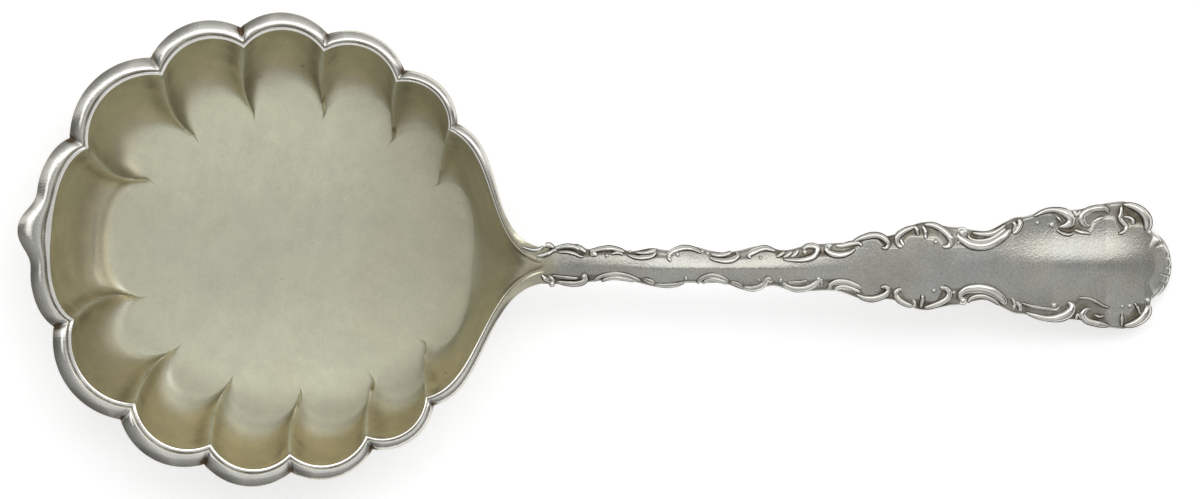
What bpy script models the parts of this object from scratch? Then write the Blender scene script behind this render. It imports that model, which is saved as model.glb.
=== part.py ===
"""Bonbon spoon: a fluted, scalloped bowl, a half-round rim wire on its edge, and a handle with scroll borders.

The origin is the middle of the bowl's foot, on the table. +X runs along the handle and +Z is up.
The bowl and the rim are drawn in the bowl's own frame, which is turned about Z against the handle.
"""

import math

import bpy
import numpy as np
from mathutils import Vector
from mathutils.bvhtree import BVHTree

# Bowl sizes, in metres
SEAT_HEIGHT = 0.0093  # table to the flange that carries the rim wire
WALL = 0.0010
FLANGE_THICKNESS = 0.0009
NOTCH_HALF_LENGTH = 0.0223  # oval of the notches between lobes, at the inner edge of the rim
NOTCH_HALF_BREADTH = 0.0212
FLOOR_HALF_LENGTH = 0.0172  # oval on which the ridges between the flutes die out
FLOOR_HALF_BREADTH = 0.0144
FLOOR_SHIFT = 0.0019  # that oval lies nearer the handle
FLUTE_REACH = 0.0046  # how far a flute's foot runs out past its two ridge ends
RIDGE_BOW = 0.0006  # sideways bow of each ridge, towards the tip
SHOULDER_SWELL = 0.0062  # how strongly the last lobe swells before it sweeps into the neck
SHOULDER_ANGLE = -18.0  # direction of that swell, degrees from the bowl's axis
NECK_SWEEP = 0.0066  # how long the sweep runs along the neck
NECK_LEVEL = 0.0030  # level end of the bowl's tongue
BOWL_REACH = 0.0260  # centre of the bowl to the neck line

# Lobes of the bowl's edge, from the neck to the tip, mirrored on the other side
NOTCH_ANGLES = (39.6, 59.2, 81.2, 103.7, 127.7, 154.6)  # degrees from the neck
LOBE_RISE = 0.25  # height of a lobe over its chord at the rim's inner line, as a share of the chord
OUTER_LOBE_RISE = 0.21  # the same at the rim's outer line
TIP_LOBE_RISE = 0.175

# Rim wire, in metres
RIM_WIDTH = 0.00225
RIM_NECK_WIDTH = 0.0008
RIM_FULL_ANGLE = 120.0  # degrees from the neck at which the wire reaches its full width
RIM_HEIGHT = 0.0012
RIM_NECK_HEIGHT = 0.0006
RIM_OVERHANG = 0.00015  # wire past the edge of the flange
TIP_POINT = 0.0013  # extra width at the bowl's point
TIP_SHARPNESS = 14  # how narrow that point is

# Handle, in metres, along its own axis from the neck line
BOWL_TURN = 4.8  # degrees by which the bowl is turned against the handle
NECK_STEP = 0.0006  # handle axis to the bowl's axis at the neck line
HANDLE_LENGTH = 0.0674
TONGUE_LENGTH = 0.0021  # bowl's tongue past the neck line, seated in the handle
HEEL_LENGTH = 0.0040  # handle's heel under the bowl, before the neck line
HEEL_TIP_HALF_WIDTH = 0.0009
HEEL_TIP_THICKNESS = 0.0006
NECK_HALF_WIDTH = 0.0018
NECK_THICKNESS = 0.0023
END_THICKNESS = 0.0015
HANDLE_ARCH = 0.0050  # rise of the handle's underside over the line from the neck to its end
FIELD_CROWN = 0.0004  # the plain field stands this much higher on the axis than at the edge
EDGE_ROUND = 0.0005  # the underside lifts this much at the edge
END_LOBE_HALF_WIDTH = 0.0033
END_LOBE_DEPTH = 0.0020
SOLDER_GAP = 0.00025  # clearance in the soldered seats

# Outline of the handle: distance along the handle as a share of its length, and half width in metres
LEFT_OUTLINE = (
    (0.048, 0.00203), (0.080, 0.00224), (0.097, 0.00171), (0.128, 0.00203), (0.165, 0.00150),
    (0.196, 0.00180), (0.221, 0.00160), (0.251, 0.00203), (0.307, 0.00135), (0.365, 0.00203),
    (0.399, 0.00160), (0.445, 0.00223), (0.491, 0.00236), (0.536, 0.00338), (0.556, 0.00307),
    (0.616, 0.00450), (0.660, 0.00400), (0.708, 0.00357), (0.763, 0.00504), (0.819, 0.00598),
    (0.840, 0.00576), (0.923, 0.00668), (0.955, 0.00590),
)
RIGHT_OUTLINE = (
    (0.048, 0.00195), (0.080, 0.00203), (0.097, 0.00172), (0.128, 0.00150), (0.150, 0.00150),
    (0.208, 0.00224), (0.251, 0.00182), (0.300, 0.00180), (0.344, 0.00265), (0.381, 0.00213),
    (0.418, 0.00276), (0.470, 0.00255), (0.536, 0.00368), (0.556, 0.00348), (0.616, 0.00462),
    (0.660, 0.00415), (0.708, 0.00357), (0.763, 0.00504), (0.819, 0.00578), (0.840, 0.00560),
    (0.923, 0.00662), (0.955, 0.00580),
)

# Scrolls of the borders: start and end as shares of the handle's length, then the distance from the
# outline to the middle of the ridge at the start, half way and at the end, in metres
TERMINAL_SCROLLS = (
    (0.460, 0.520, 0.0005, 0.0012, 0.0006), (0.512, 0.562, 0.0006, 0.0004, 0.0010),
    (0.568, 0.660, 0.0012, 0.0004, 0.0012), (0.668, 0.762, 0.0006, 0.0014, 0.0005),
    (0.776, 0.842, 0.0006, 0.0004, 0.0016), (0.856, 0.911, 0.0018, 0.0005, 0.0008),
    (0.914, 0.955, 0.0018, 0.0006, 0.0012),
)
LEFT_SCROLLS = (
    (0.050, 0.096, 0.0008, 0.0004, 0.0006), (0.101, 0.159, 0.0008, 0.0004, 0.0006),
    (0.160, 0.208, 0.0004, 0.0008, 0.0004), (0.215, 0.273, 0.0009, 0.0004, 0.0006),
    (0.274, 0.334, 0.0004, 0.0007, 0.0004), (0.340, 0.393, 0.0009, 0.0004, 0.0006),
    (0.393, 0.454, 0.0005, 0.0010, 0.0004),
) + TERMINAL_SCROLLS
RIGHT_SCROLLS = (
    (0.050, 0.094, 0.0007, 0.0004, 0.0008), (0.101, 0.181, 0.0004, 0.0008, 0.0004),
    (0.183, 0.258, 0.0006, 0.0004, 0.0008), (0.261, 0.317, 0.0004, 0.0009, 0.0004),
    (0.318, 0.381, 0.0006, 0.0004, 0.0009), (0.391, 0.456, 0.0008, 0.0004, 0.0009),
) + TERMINAL_SCROLLS
SCROLL_HALF_WIDTH = 0.00038
SCROLL_HEIGHT = 0.00040
SCROLL_ROOT = 0.00030  # how deep a scroll is rooted in the handle

# Points of the meshes
LOBE_COLUMNS = 6
TIP_COLUMNS = 14
SHOULDER_COLUMNS = 8
NECK_COLUMNS = 3
WALL_ROWS = 6
RIM_POINTS = 6
SCROLL_STEPS = 8
SCROLL_SIDES = 6
FIELD_POINTS = 7
UNDERSIDE_POINTS = 5
OUTLINE_STEPS = 3  # stations between two points of the outline
END_LOBE_STEPS = 6
HEEL_STEPS = 12

SILVER = (0.74, 0.74, 0.70, 1.0)
GILT_SILVER = (0.70, 0.69, 0.56, 1.0)


def smoothstep(value):
    """0 below 0, 1 above 1, and an S-curve between."""
    held = np.clip(value, 0.0, 1.0)
    return held * held * (3 - 2 * held)


def turned(points, degrees):
    """Plan points turned about the origin."""
    angle = math.radians(degrees)
    turn = np.array([[math.cos(angle), math.sin(angle)], [-math.sin(angle), math.cos(angle)]])
    return np.asarray(points) @ turn


def handle_origin():
    """The neck line on the handle's axis, in the spoon's frame: the handle stands a step off the bowl's axis."""
    return turned((BOWL_REACH, 0.0), -BOWL_TURN) + (0.0, NECK_STEP)


def neck_corner(side, half_width):
    """A corner of the bowl's tongue, square to the handle, in the bowl's frame."""
    on_handle = handle_origin() + (TONGUE_LENGTH, side * half_width)
    return turned(on_handle, BOWL_TURN)


def bezier(start, first, second, end, steps):
    """Points of a cubic curve, without its end."""
    t = np.linspace(0, 1, steps, endpoint=False)[:, None]
    start, first, second, end = map(np.asarray, (start, first, second, end))
    return start * (1 - t) ** 3 + first * 3 * t * (1 - t) ** 2 + second * 3 * t**2 * (1 - t) + end * t**3


def lobe(start, end, rise, steps):
    """Points of a circular arc that rises over its chord by a share of it, without its end."""
    start, end = np.asarray(start), np.asarray(end)
    half_angle = 2 * math.atan(2 * rise)
    chord = end - start
    radius = np.linalg.norm(chord) / 2 / math.sin(half_angle)
    along = chord / np.linalg.norm(chord)
    outward = np.array([along[1], -along[0]])
    centre = (start + end) / 2 - outward * radius * math.cos(half_angle)
    angle = np.linspace(-half_angle, half_angle, steps, endpoint=False)[:, None]
    return centre + radius * (along * np.sin(angle) + outward * np.cos(angle))


def foot_of_flute(start, end, steps):
    """Points of the half ellipse where a flute meets the floor, without its end."""
    start, end = np.asarray(start), np.asarray(end)
    chord = end - start
    outward = np.array([chord[1], -chord[0]]) / np.linalg.norm(chord)
    angle = np.linspace(0, math.pi, steps, endpoint=False)[:, None]
    return (start + end) / 2 - chord / 2 * np.cos(angle) + outward * FLUTE_REACH * np.sin(angle)


def rim_width(degrees):
    """Width of the rim wire, which grows from the neck towards the tip."""
    return RIM_NECK_WIDTH + (RIM_WIDTH - RIM_NECK_WIDTH) * smoothstep(np.abs(degrees) / RIM_FULL_ANGLE)


def oval(degrees, half_length, half_breadth):
    """Point of an oval about the bowl's centre whose radius goes from its half breadth to its half length."""
    angle = math.radians(degrees)
    radius = half_breadth + (half_length - half_breadth) * math.cos(angle) ** 2
    return radius * np.array([math.cos(angle), math.sin(angle)])


def floor_point(degrees):
    """Point of the floor's ellipse."""
    angle = math.radians(degrees)
    return np.array(
        [FLOOR_SHIFT + FLOOR_HALF_LENGTH * math.cos(angle), FLOOR_HALF_BREADTH * math.sin(angle)]
    )


def floor_run(first, last, steps):
    """Points along the floor's ellipse between two angles, without the last."""
    return np.array([floor_point(a) for a in np.linspace(first, last, steps, endpoint=False)])


def edge_curves():
    """The bowl's edge, once round from one corner of the neck, in plan.

    Gives the floor's foot line, the inner and the outer line of the rim, and how much of each column is neck.
    """
    foot, inner, outer, neck = [], [], [], []

    def add(foot_points, inner_points, outer_points, neck_shares):
        foot.append(foot_points)
        inner.append(inner_points)
        outer.append(outer_points)
        neck.append(neck_shares)

    def notch(degrees, extra=0.0):
        place = oval(degrees, NOTCH_HALF_LENGTH, NOTCH_HALF_BREADTH)
        return place * (1 + extra / np.linalg.norm(place))

    def shoulder(side, extra):
        """Swell from the last notch into the neck, from the neck to the notch."""
        start = notch(side * NOTCH_ANGLES[0], extra)
        swell = math.radians(SHOULDER_ANGLE)
        first = start + SHOULDER_SWELL * np.array([math.cos(swell), side * math.sin(swell)])
        corner = neck_corner(side, NECK_HALF_WIDTH - RIM_NECK_WIDTH + extra_at_neck(extra))
        along = turned((NECK_SWEEP, 0.0), BOWL_TURN)
        return corner, corner - along, first, start

    def extra_at_neck(extra):
        return RIM_NECK_WIDTH if extra else 0.0

    def shoulder_run(side):
        width = rim_width(NOTCH_ANGLES[0])
        runs = []
        for extra in (0.0, width):
            points = shoulder(side, extra)
            ordered = points if side > 0 else points[::-1]
            runs.append(bezier(*ordered, SHOULDER_COLUMNS))
        corner_angle = NOTCH_ANGLES[0] * NECK_HALF_WIDTH / NOTCH_HALF_LENGTH
        ends = (corner_angle, NOTCH_ANGLES[0]) if side > 0 else (-NOTCH_ANGLES[0], -corner_angle)
        share = 1 - np.linspace(0, 1, SHOULDER_COLUMNS, endpoint=False)
        add(floor_run(*ends, SHOULDER_COLUMNS), *runs, share if side > 0 else 1 - share)

    shoulder_run(1)
    angles = list(NOTCH_ANGLES) + [360 - a for a in reversed(NOTCH_ANGLES)]
    for first, last in zip(angles[:-1], angles[1:]):
        at_tip = first < 180 < last
        steps = TIP_COLUMNS if at_tip else LOBE_COLUMNS
        ends = [a if a < 180 else a - 360 for a in (first, last)]
        widths = rim_width(np.array(ends))
        rise = TIP_LOBE_RISE if at_tip else LOBE_RISE
        inner_line = lobe(notch(ends[0]), notch(ends[1]), rise, steps)
        grow = np.linspace(0, 1, steps, endpoint=False)
        if at_tip:
            outline_width = widths[0] + TIP_POINT * np.sin(math.pi * grow) ** TIP_SHARPNESS
            distance = np.linalg.norm(inner_line, axis=1)
            outer_line = inner_line * (1 + outline_width / distance)[:, None]
        else:
            outer_line = lobe(notch(ends[0], widths[0]), notch(ends[1], widths[1]), OUTER_LOBE_RISE, steps)
        add(
            foot_of_flute(floor_point(ends[0]), floor_point(ends[1]), steps),
            inner_line,
            outer_line,
            np.zeros(steps),
        )
    shoulder_run(-1)
    corner_angle = NOTCH_ANGLES[0] * NECK_HALF_WIDTH / NOTCH_HALF_LENGTH
    across = np.linspace(0, 1, NECK_COLUMNS, endpoint=False)[:, None]

    def neck_end(half_width):
        start, end = neck_corner(-1, half_width), neck_corner(1, half_width)
        return start + (end - start) * across

    add(
        floor_run(-corner_angle, corner_angle, NECK_COLUMNS),
        neck_end(NECK_HALF_WIDTH - RIM_NECK_WIDTH),
        neck_end(NECK_HALF_WIDTH),
        np.ones(NECK_COLUMNS),
    )
    return tuple(np.concatenate(lines) for lines in (foot, inner, outer, neck))


def wall_rise(share, neck):
    """Height of the wall at a share of its run: a curve that steepens to the rim, and an S-curve at the neck."""
    hollow = 1 - np.sqrt(1 - (0.96 * share) ** 2)
    hollow = hollow / (1 - math.sqrt(1 - 0.96**2))
    neck_run = BOWL_REACH + TONGUE_LENGTH - FLOOR_SHIFT - FLOOR_HALF_LENGTH
    return hollow * (1 - neck) + smoothstep(share * neck_run / (neck_run - NECK_LEVEL)) * neck


def bowed(points, share):
    """Plan points shifted towards the tip, most half way up the wall."""
    sideways = np.abs(points[:, 1]) / np.linalg.norm(points, axis=1)
    shift = RIDGE_BOW * 4 * share * (1 - share) * sideways
    return points - np.column_stack([shift, np.zeros(len(points))])


def bowl_rows():
    """Rings of points from the middle of the floor, over the rim's seat, to the foot under the bowl."""
    foot, inner, outer, neck = edge_curves()
    flange = inner + (outer - inner) * (1 - RIM_OVERHANG / np.linalg.norm(outer - inner, axis=1))[:, None]
    flange[neck == 1] = outer[neck == 1]
    run = inner - foot
    out = run / np.linalg.norm(run, axis=1)[:, None]
    backing = (np.minimum(WALL, 0.9 * np.linalg.norm(flange - inner, axis=1)) * (1 - neck))[:, None]
    shares = np.linspace(0, 1, WALL_ROWS + 1)
    rows = [np.column_stack([foot * 0.5, np.full(len(foot), WALL)])]
    for share in shares:
        place = bowed(foot + run * share, share)
        height = WALL + (SEAT_HEIGHT - WALL) * wall_rise(share, neck)
        rows.append(np.column_stack([place, height]))
    rows.append(np.column_stack([flange, np.full(len(foot), SEAT_HEIGHT)]))
    rows.append(np.column_stack([flange, np.full(len(foot), SEAT_HEIGHT - FLANGE_THICKNESS)]))
    for share in shares[::-1]:
        place = bowed(foot + run * share, share) + out * backing * smoothstep(2 * share)
        height = (SEAT_HEIGHT - FLANGE_THICKNESS) * wall_rise(share, neck)
        rows.append(np.column_stack([place, height]))
    return rows


def mesh_of_rings(name, rings, close_start, close_end):
    """A closed mesh through rings of equally many points, each end closed by one face or fan."""
    count = len(rings[0])
    points = np.concatenate(rings).tolist()
    faces = []
    for row in range(len(rings) - 1):
        low, high = row * count, (row + 1) * count
        for column in range(count):
            after = (column + 1) % count
            faces.append((low + column, low + after, high + after, high + column))
    ends = ((close_start, 0, True), (close_end, len(rings) - 1, False))
    for kind, row, is_start in ends:
        ring = list(range(row * count, (row + 1) * count))
        if is_start:
            ring = ring[::-1]
        if kind == "face":
            faces.append(tuple(ring))
        else:
            points.append(np.mean(rings[row], axis=0).tolist())
            hub = len(points) - 1
            faces += [(ring[i], ring[(i + 1) % count], hub) for i in range(count)]
    mesh = bpy.data.meshes.new(name)
    mesh.from_pydata(points, [], faces)
    mesh.validate()
    return mesh


def material(name, colour, roughness):
    """A polished metal."""
    made = bpy.data.materials.new(name)
    made.use_nodes = True
    shader = made.node_tree.nodes["Principled BSDF"]
    shader.inputs["Base Color"].default_value = colour
    shader.inputs["Metallic"].default_value = 1.0
    shader.inputs["Roughness"].default_value = roughness
    return made


def place(name, mesh, finish, parent):
    """A named object with its finish, smooth apart from its real edges."""
    mesh.materials.append(finish)
    mesh.shade_smooth()
    mesh.set_sharp_from_angle(angle=math.radians(40))
    made = bpy.data.objects.new(name, mesh)
    made.parent = parent
    bpy.context.scene.collection.objects.link(made)
    return made


def make_bowl(parent):
    """The fluted shell, with the flange that carries the rim and the tongue that seats in the handle."""
    mesh = mesh_of_rings("bowl", bowl_rows()[::-1], "face", "fan")
    bowl = place("bowl", mesh, material("gilt_silver", GILT_SILVER, 0.35), parent)
    bowl.rotation_euler.z = math.radians(-BOWL_TURN)
    return bowl


def make_rim_wire(parent):
    """The half-round wire soldered on the flange, open at the neck."""
    _, inner, outer, neck = edge_curves()
    whole = NECK_COLUMNS
    inner = np.append(inner[:-whole], [neck_corner(-1, NECK_HALF_WIDTH - RIM_NECK_WIDTH)], axis=0)
    outer = np.append(outer[:-whole], [neck_corner(-1, NECK_HALF_WIDTH)], axis=0)
    slimness = np.append(neck[:-whole], [1.0])
    height = RIM_HEIGHT + (RIM_NECK_HEIGHT - RIM_HEIGHT) * slimness
    angle = np.linspace(0, math.pi, RIM_POINTS)
    rings = []
    for column in range(len(inner)):
        across = (1 - np.cos(angle)) / 2
        plan = inner[column] + (outer[column] - inner[column]) * across[:, None]
        crown = SEAT_HEIGHT + SOLDER_GAP + height[column] * (0.25 + 0.75 * np.sin(angle))
        section = np.column_stack([plan, crown])
        base = np.column_stack([plan[[-1, 0]], np.full(2, SEAT_HEIGHT + SOLDER_GAP)])
        rings.append(np.concatenate([section, base]))
    mesh = mesh_of_rings("rim_wire", rings, "face", "face")
    rim = place("rim_wire", mesh, material("polished_silver", SILVER, 0.15), parent)
    rim.rotation_euler.z = math.radians(-BOWL_TURN)
    return rim


def half_width_at(x, outline):
    """Half width of the handle at a distance from the neck: a smooth line through the outline's points."""
    shares = np.array([0.0] + [p[0] for p in outline])
    widths = np.array([NECK_HALF_WIDTH] + [p[1] for p in outline])
    share = np.clip(np.asarray(x) / HANDLE_LENGTH, 0.0, shares[-1])
    index = np.clip(np.searchsorted(shares, share) - 1, 0, len(shares) - 2)
    local = (share - shares[index]) / (shares[index + 1] - shares[index])
    return widths[index] + (widths[index + 1] - widths[index]) * smoothstep(local)


def underside_at(x):
    """Height of the handle's underside on its axis: a low arch from the bowl's tongue down to the table."""
    share = (np.asarray(x) - TONGUE_LENGTH) / (HANDLE_LENGTH - TONGUE_LENGTH)
    start = SEAT_HEIGHT - NECK_THICKNESS
    return start * (1 - share) + HANDLE_ARCH * 4 * share * (1 - share)


def thickness_at(x):
    """Thickness of the handle on its axis."""
    share = (np.asarray(x) - TONGUE_LENGTH) / (HANDLE_LENGTH - TONGUE_LENGTH)
    return NECK_THICKNESS + (END_THICKNESS - NECK_THICKNESS) * share


def field_at(x, across):
    """Height of the handle's upper face at a share of its half width."""
    return underside_at(x) + thickness_at(x) - FIELD_CROWN * np.asarray(across) ** 2


def underside_of(bowl):
    """A function that gives the height of the bowl's underside over a point of the spoon's plan, or None."""
    turn = math.radians(-BOWL_TURN)
    points = [Vector(v.co) for v in bowl.data.vertices]
    for point in points:
        x, y = point.x, point.y
        point.x = x * math.cos(turn) - y * math.sin(turn)
        point.y = x * math.sin(turn) + y * math.cos(turn)
    tree = BVHTree.FromPolygons(points, [tuple(p.vertices) for p in bowl.data.polygons])

    def height(x, y):
        hit = tree.ray_cast(Vector((x, y, -1.0)), Vector((0.0, 0.0, 1.0)))
        return hit[0].z if hit[0] else None

    return height


def handle_stations():
    """Distances from the neck line at which the handle gets a section, with the half widths on each side."""
    shoulder_end = LEFT_OUTLINE[-1][0] * HANDLE_LENGTH
    lobe_start = HANDLE_LENGTH - END_LOBE_DEPTH
    seat_end = TONGUE_LENGTH + SOLDER_GAP
    shares = [p[0] for p in LEFT_OUTLINE]
    stations = []
    for x in np.linspace(-HEEL_LENGTH, seat_end, HEEL_STEPS):
        heel = smoothstep((x + HEEL_LENGTH) / (HEEL_LENGTH + seat_end))
        width = HEEL_TIP_HALF_WIDTH + (NECK_HALF_WIDTH - SOLDER_GAP - HEEL_TIP_HALF_WIDTH) * heel
        stations.append((x, width, width))
    body = [seat_end + SOLDER_GAP / 4]
    edges = [body[0] / HANDLE_LENGTH] + shares
    for first, last in zip(edges[:-1], edges[1:]):
        for step in range(1, OUTLINE_STEPS + 1):
            body.append((first + (last - first) * step / OUTLINE_STEPS) * HANDLE_LENGTH)
    for x in body:
        stations.append((x, float(half_width_at(x, LEFT_OUTLINE)), float(half_width_at(x, RIGHT_OUTLINE))))
    left_last, right_last = stations[-1][1:]
    for share in (0.5, 0.85):
        fall = smoothstep(share) * share
        stations.append(
            (
                shoulder_end + (lobe_start - shoulder_end) * share,
                left_last + (END_LOBE_HALF_WIDTH - left_last) * fall,
                right_last + (END_LOBE_HALF_WIDTH - right_last) * fall,
            )
        )
    for angle in np.linspace(0, math.radians(82), END_LOBE_STEPS):
        width = END_LOBE_HALF_WIDTH * math.cos(angle)
        stations.append((lobe_start + END_LOBE_DEPTH * math.sin(angle), width, width))
    return stations


def handle_body(bowl):
    """Stem, terminal and heel as one mesh, seated under the bowl."""
    under_bowl = underside_of(bowl)
    origin = handle_origin()
    seat_end = TONGUE_LENGTH + SOLDER_GAP

    def seat_under(x, y):
        """Height of the seat: the lowest of the bowl's underside within the gap round a point, less the gap."""
        near = min(x, TONGUE_LENGTH - 2 * SOLDER_GAP)
        heights = [under_bowl(origin[0] + near + step, origin[1] + y) for step in (-SOLDER_GAP, SOLDER_GAP)]
        return min(heights) - SOLDER_GAP

    top_shares = np.linspace(1, -1, FIELD_POINTS)
    low_shares = np.linspace(-1, 1, UNDERSIDE_POINTS)
    rings = []
    for x, left, right in handle_stations():
        in_seat = x <= seat_end
        heel = (x + HEEL_LENGTH) / (HEEL_LENGTH + seat_end)
        thickness = float(thickness_at(max(x, TONGUE_LENGTH)))
        ring = []
        for share in top_shares:
            y = share * (left if share > 0 else right)
            z = float(field_at(max(x, TONGUE_LENGTH), share))
            if in_seat:
                z = seat_under(x, y)
            ring.append((x, y, z))
        for share in low_shares:
            y = share * (left if share > 0 else right)
            if in_seat:
                neck_depth = NECK_THICKNESS - FLANGE_THICKNESS - SOLDER_GAP
                deep = HEEL_TIP_THICKNESS + (neck_depth - HEEL_TIP_THICKNESS) * heel
                z = ring[FIELD_POINTS // 2][2] - deep + min(EDGE_ROUND, 0.4 * deep) * share**4
            else:
                z = float(underside_at(x)) + min(EDGE_ROUND, 0.4 * thickness) * share**4
            ring.append((x, y, z))
        rings.append(np.array(ring))
    return mesh_of_rings("handle", rings, "face", "face")


def scroll_path(scroll, outline, side):
    """Middle line of one scroll on the handle's upper face."""
    start, end, first, middle, last = scroll
    t = np.linspace(0, 1, SCROLL_STEPS + 1)
    x = (start + (end - start) * t) * HANDLE_LENGTH
    inset = first + (last - first) * t + (middle - (first + last) / 2) * np.sin(math.pi * t)
    width = half_width_at(x, outline)
    across = (width - inset) / width
    return np.column_stack([x, side * (width - inset), field_at(x, across)])


def scroll_mesh(name, path):
    """A ridge along a path, slimmer at its ends, rooted below the face that it lies on."""
    along = np.gradient(path, axis=0)
    along /= np.linalg.norm(along, axis=1)[:, None]
    sideways = np.cross(along, (0.0, 0.0, 1.0))
    sideways /= np.linalg.norm(sideways, axis=1)[:, None]
    upward = np.cross(sideways, along)
    angle = np.linspace(0, 2 * math.pi, SCROLL_SIDES, endpoint=False)
    rings = []
    for step, point in enumerate(path):
        swell = 0.55 + 0.45 * math.sin(math.pi * step / (len(path) - 1))
        lift = np.where(np.sin(angle) > 0, SCROLL_HEIGHT, SCROLL_ROOT) * np.sin(angle)
        ring = (
            point
            + sideways[step] * (SCROLL_HALF_WIDTH * swell * np.cos(angle))[:, None]
            + upward[step] * (lift * swell)[:, None]
        )
        rings.append(ring)
    return mesh_of_rings(name, rings, "face", "face")


def make_handle(parent, bowl):
    """The struck handle: its body with every scroll of the two borders raised from it."""
    finish = material("worn_silver", SILVER, 0.30)
    handle = place("handle", handle_body(bowl), finish, parent)
    handle.location = (*handle_origin(), 0.0)
    borders = (("left", LEFT_SCROLLS, LEFT_OUTLINE, 1), ("right", RIGHT_SCROLLS, RIGHT_OUTLINE, -1))
    for word, scrolls, outline, side in borders:
        for number, scroll in enumerate(scrolls, 1):
            name = f"{word}_scroll_{number:02d}"
            ridge = bpy.data.objects.new(name, scroll_mesh(name, scroll_path(scroll, outline, side)))
            bpy.context.scene.collection.objects.link(ridge)
            ridge.parent = handle
            ridge.hide_render = True
            ridge.display_type = "WIRE"
            raised = handle.modifiers.new(name, "BOOLEAN")
            raised.operation = "UNION"
            raised.solver = "EXACT"
            raised.object = ridge
    return handle


def main():
    for old in list(bpy.data.objects):
        bpy.data.objects.remove(old)
    spoon = bpy.data.objects.new("spoon", None)
    bpy.context.scene.collection.objects.link(spoon)
    bowl = make_bowl(spoon)
    make_rim_wire(spoon)
    make_handle(spoon, bowl)


main()
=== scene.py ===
"""Looks of the bonbon spoon: fluted bowl, rim wire and handle with raised scrolls, on a plain floor.

Lengths are metres unless a comment says millimetres. The frame is the part's own: the origin is the middle of
the bowl's foot on the table, +X runs along the handle and +Z is up.
"""

import math
from itertools import pairwise

import bpy
import numpy as np
from bpy.props import FloatProperty, FloatVectorProperty, IntProperty, PointerProperty
from mathutils import Color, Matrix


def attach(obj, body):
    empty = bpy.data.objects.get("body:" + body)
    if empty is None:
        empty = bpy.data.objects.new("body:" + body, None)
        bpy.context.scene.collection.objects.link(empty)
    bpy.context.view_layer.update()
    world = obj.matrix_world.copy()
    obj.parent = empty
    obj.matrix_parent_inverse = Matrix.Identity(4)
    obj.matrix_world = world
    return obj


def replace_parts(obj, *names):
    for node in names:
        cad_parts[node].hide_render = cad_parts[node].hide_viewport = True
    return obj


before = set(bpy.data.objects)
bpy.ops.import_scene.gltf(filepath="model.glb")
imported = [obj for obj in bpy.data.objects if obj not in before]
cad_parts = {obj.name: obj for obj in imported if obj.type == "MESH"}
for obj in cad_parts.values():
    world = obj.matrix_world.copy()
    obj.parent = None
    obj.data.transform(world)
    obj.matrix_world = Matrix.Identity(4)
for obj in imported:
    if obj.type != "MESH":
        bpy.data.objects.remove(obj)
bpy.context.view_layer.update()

bl_info = {
    "name": "Bonbon spoon",
    "version": (1, 0, 0),
    "blender": (4, 5, 0),
    "location": "View3D > Sidebar > Spoon",
    "description": "Builds a silver bonbon spoon with a fluted bowl and a scroll-bordered handle",
    "category": "Add Mesh",
}

MM = 0.001

# Rows of points of the bowl: its floor, the inside of its wall, the outside and the foot
FLOOR_ROWS, WALL_ROWS, OUTSIDE_ROWS, FOOT_ROWS = 26, 46, 30, 11

# Shape of the handle's plain field: millimetres from the neck line, then the value at each of these places
FIELD_BEND = (
    (0.0, 6.0, 24.0, 32.0, 36.0, 44.0, 50.0, 55.0, 60.5, 64.5),
    (15.0, 45.0, 60.0, 25.0, 8.0, 10.0, 28.0, 82.0, 92.0, 25.0),
)
FIELD_KEEL = ((0.0, 9.0, 15.0, 18.0, 24.0, 30.0, 36.0), (0.0, 0.05, 0.12, 0.16, 0.15, 0.06, 0.0))
FIELD_SHIFT = ((6.0, 14.0, 28.0, 36.0), (0.0, 0.35, 0.3, 0.0))
FIELD_SPREAD = ((44.0, 51.0), (8.0, 2.6))

# Outline of the handle on each side: distance from the neck line and half width, in millimetres
LEFT_OUTLINE = (
    (0.0, 1.85), (3.2, 2.03), (5.4, 2.24), (6.5, 1.71), (8.6, 2.03), (11.1, 1.5), (13.2, 1.8), (14.9, 1.6),
    (16.9, 2.03), (20.7, 1.35), (24.6, 2.03), (26.9, 1.6), (30.0, 2.23), (33.1, 2.36), (36.1, 3.38),
    (37.5, 3.07), (41.5, 4.5), (44.5, 4.0), (47.7, 3.57), (51.4, 5.04), (55.2, 5.98), (56.6, 5.76),
    (62.2, 6.68), (64.0, 6.1), (64.9, 5.0),
)
RIGHT_OUTLINE = (
    (0.0, 1.85), (3.2, 1.95), (5.4, 2.1), (6.5, 1.72), (8.6, 1.5), (10.1, 1.5), (14.0, 2.24), (16.9, 1.82),
    (20.2, 1.8), (23.2, 2.6), (25.7, 2.13), (28.2, 2.72), (31.7, 2.6), (36.1, 3.68), (37.5, 3.48),
    (41.5, 4.62), (44.5, 4.15), (47.7, 3.57), (51.4, 5.04), (55.2, 5.78), (56.6, 5.6), (62.2, 6.62),
    (64.0, 6.0), (64.9, 4.95),
)

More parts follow.
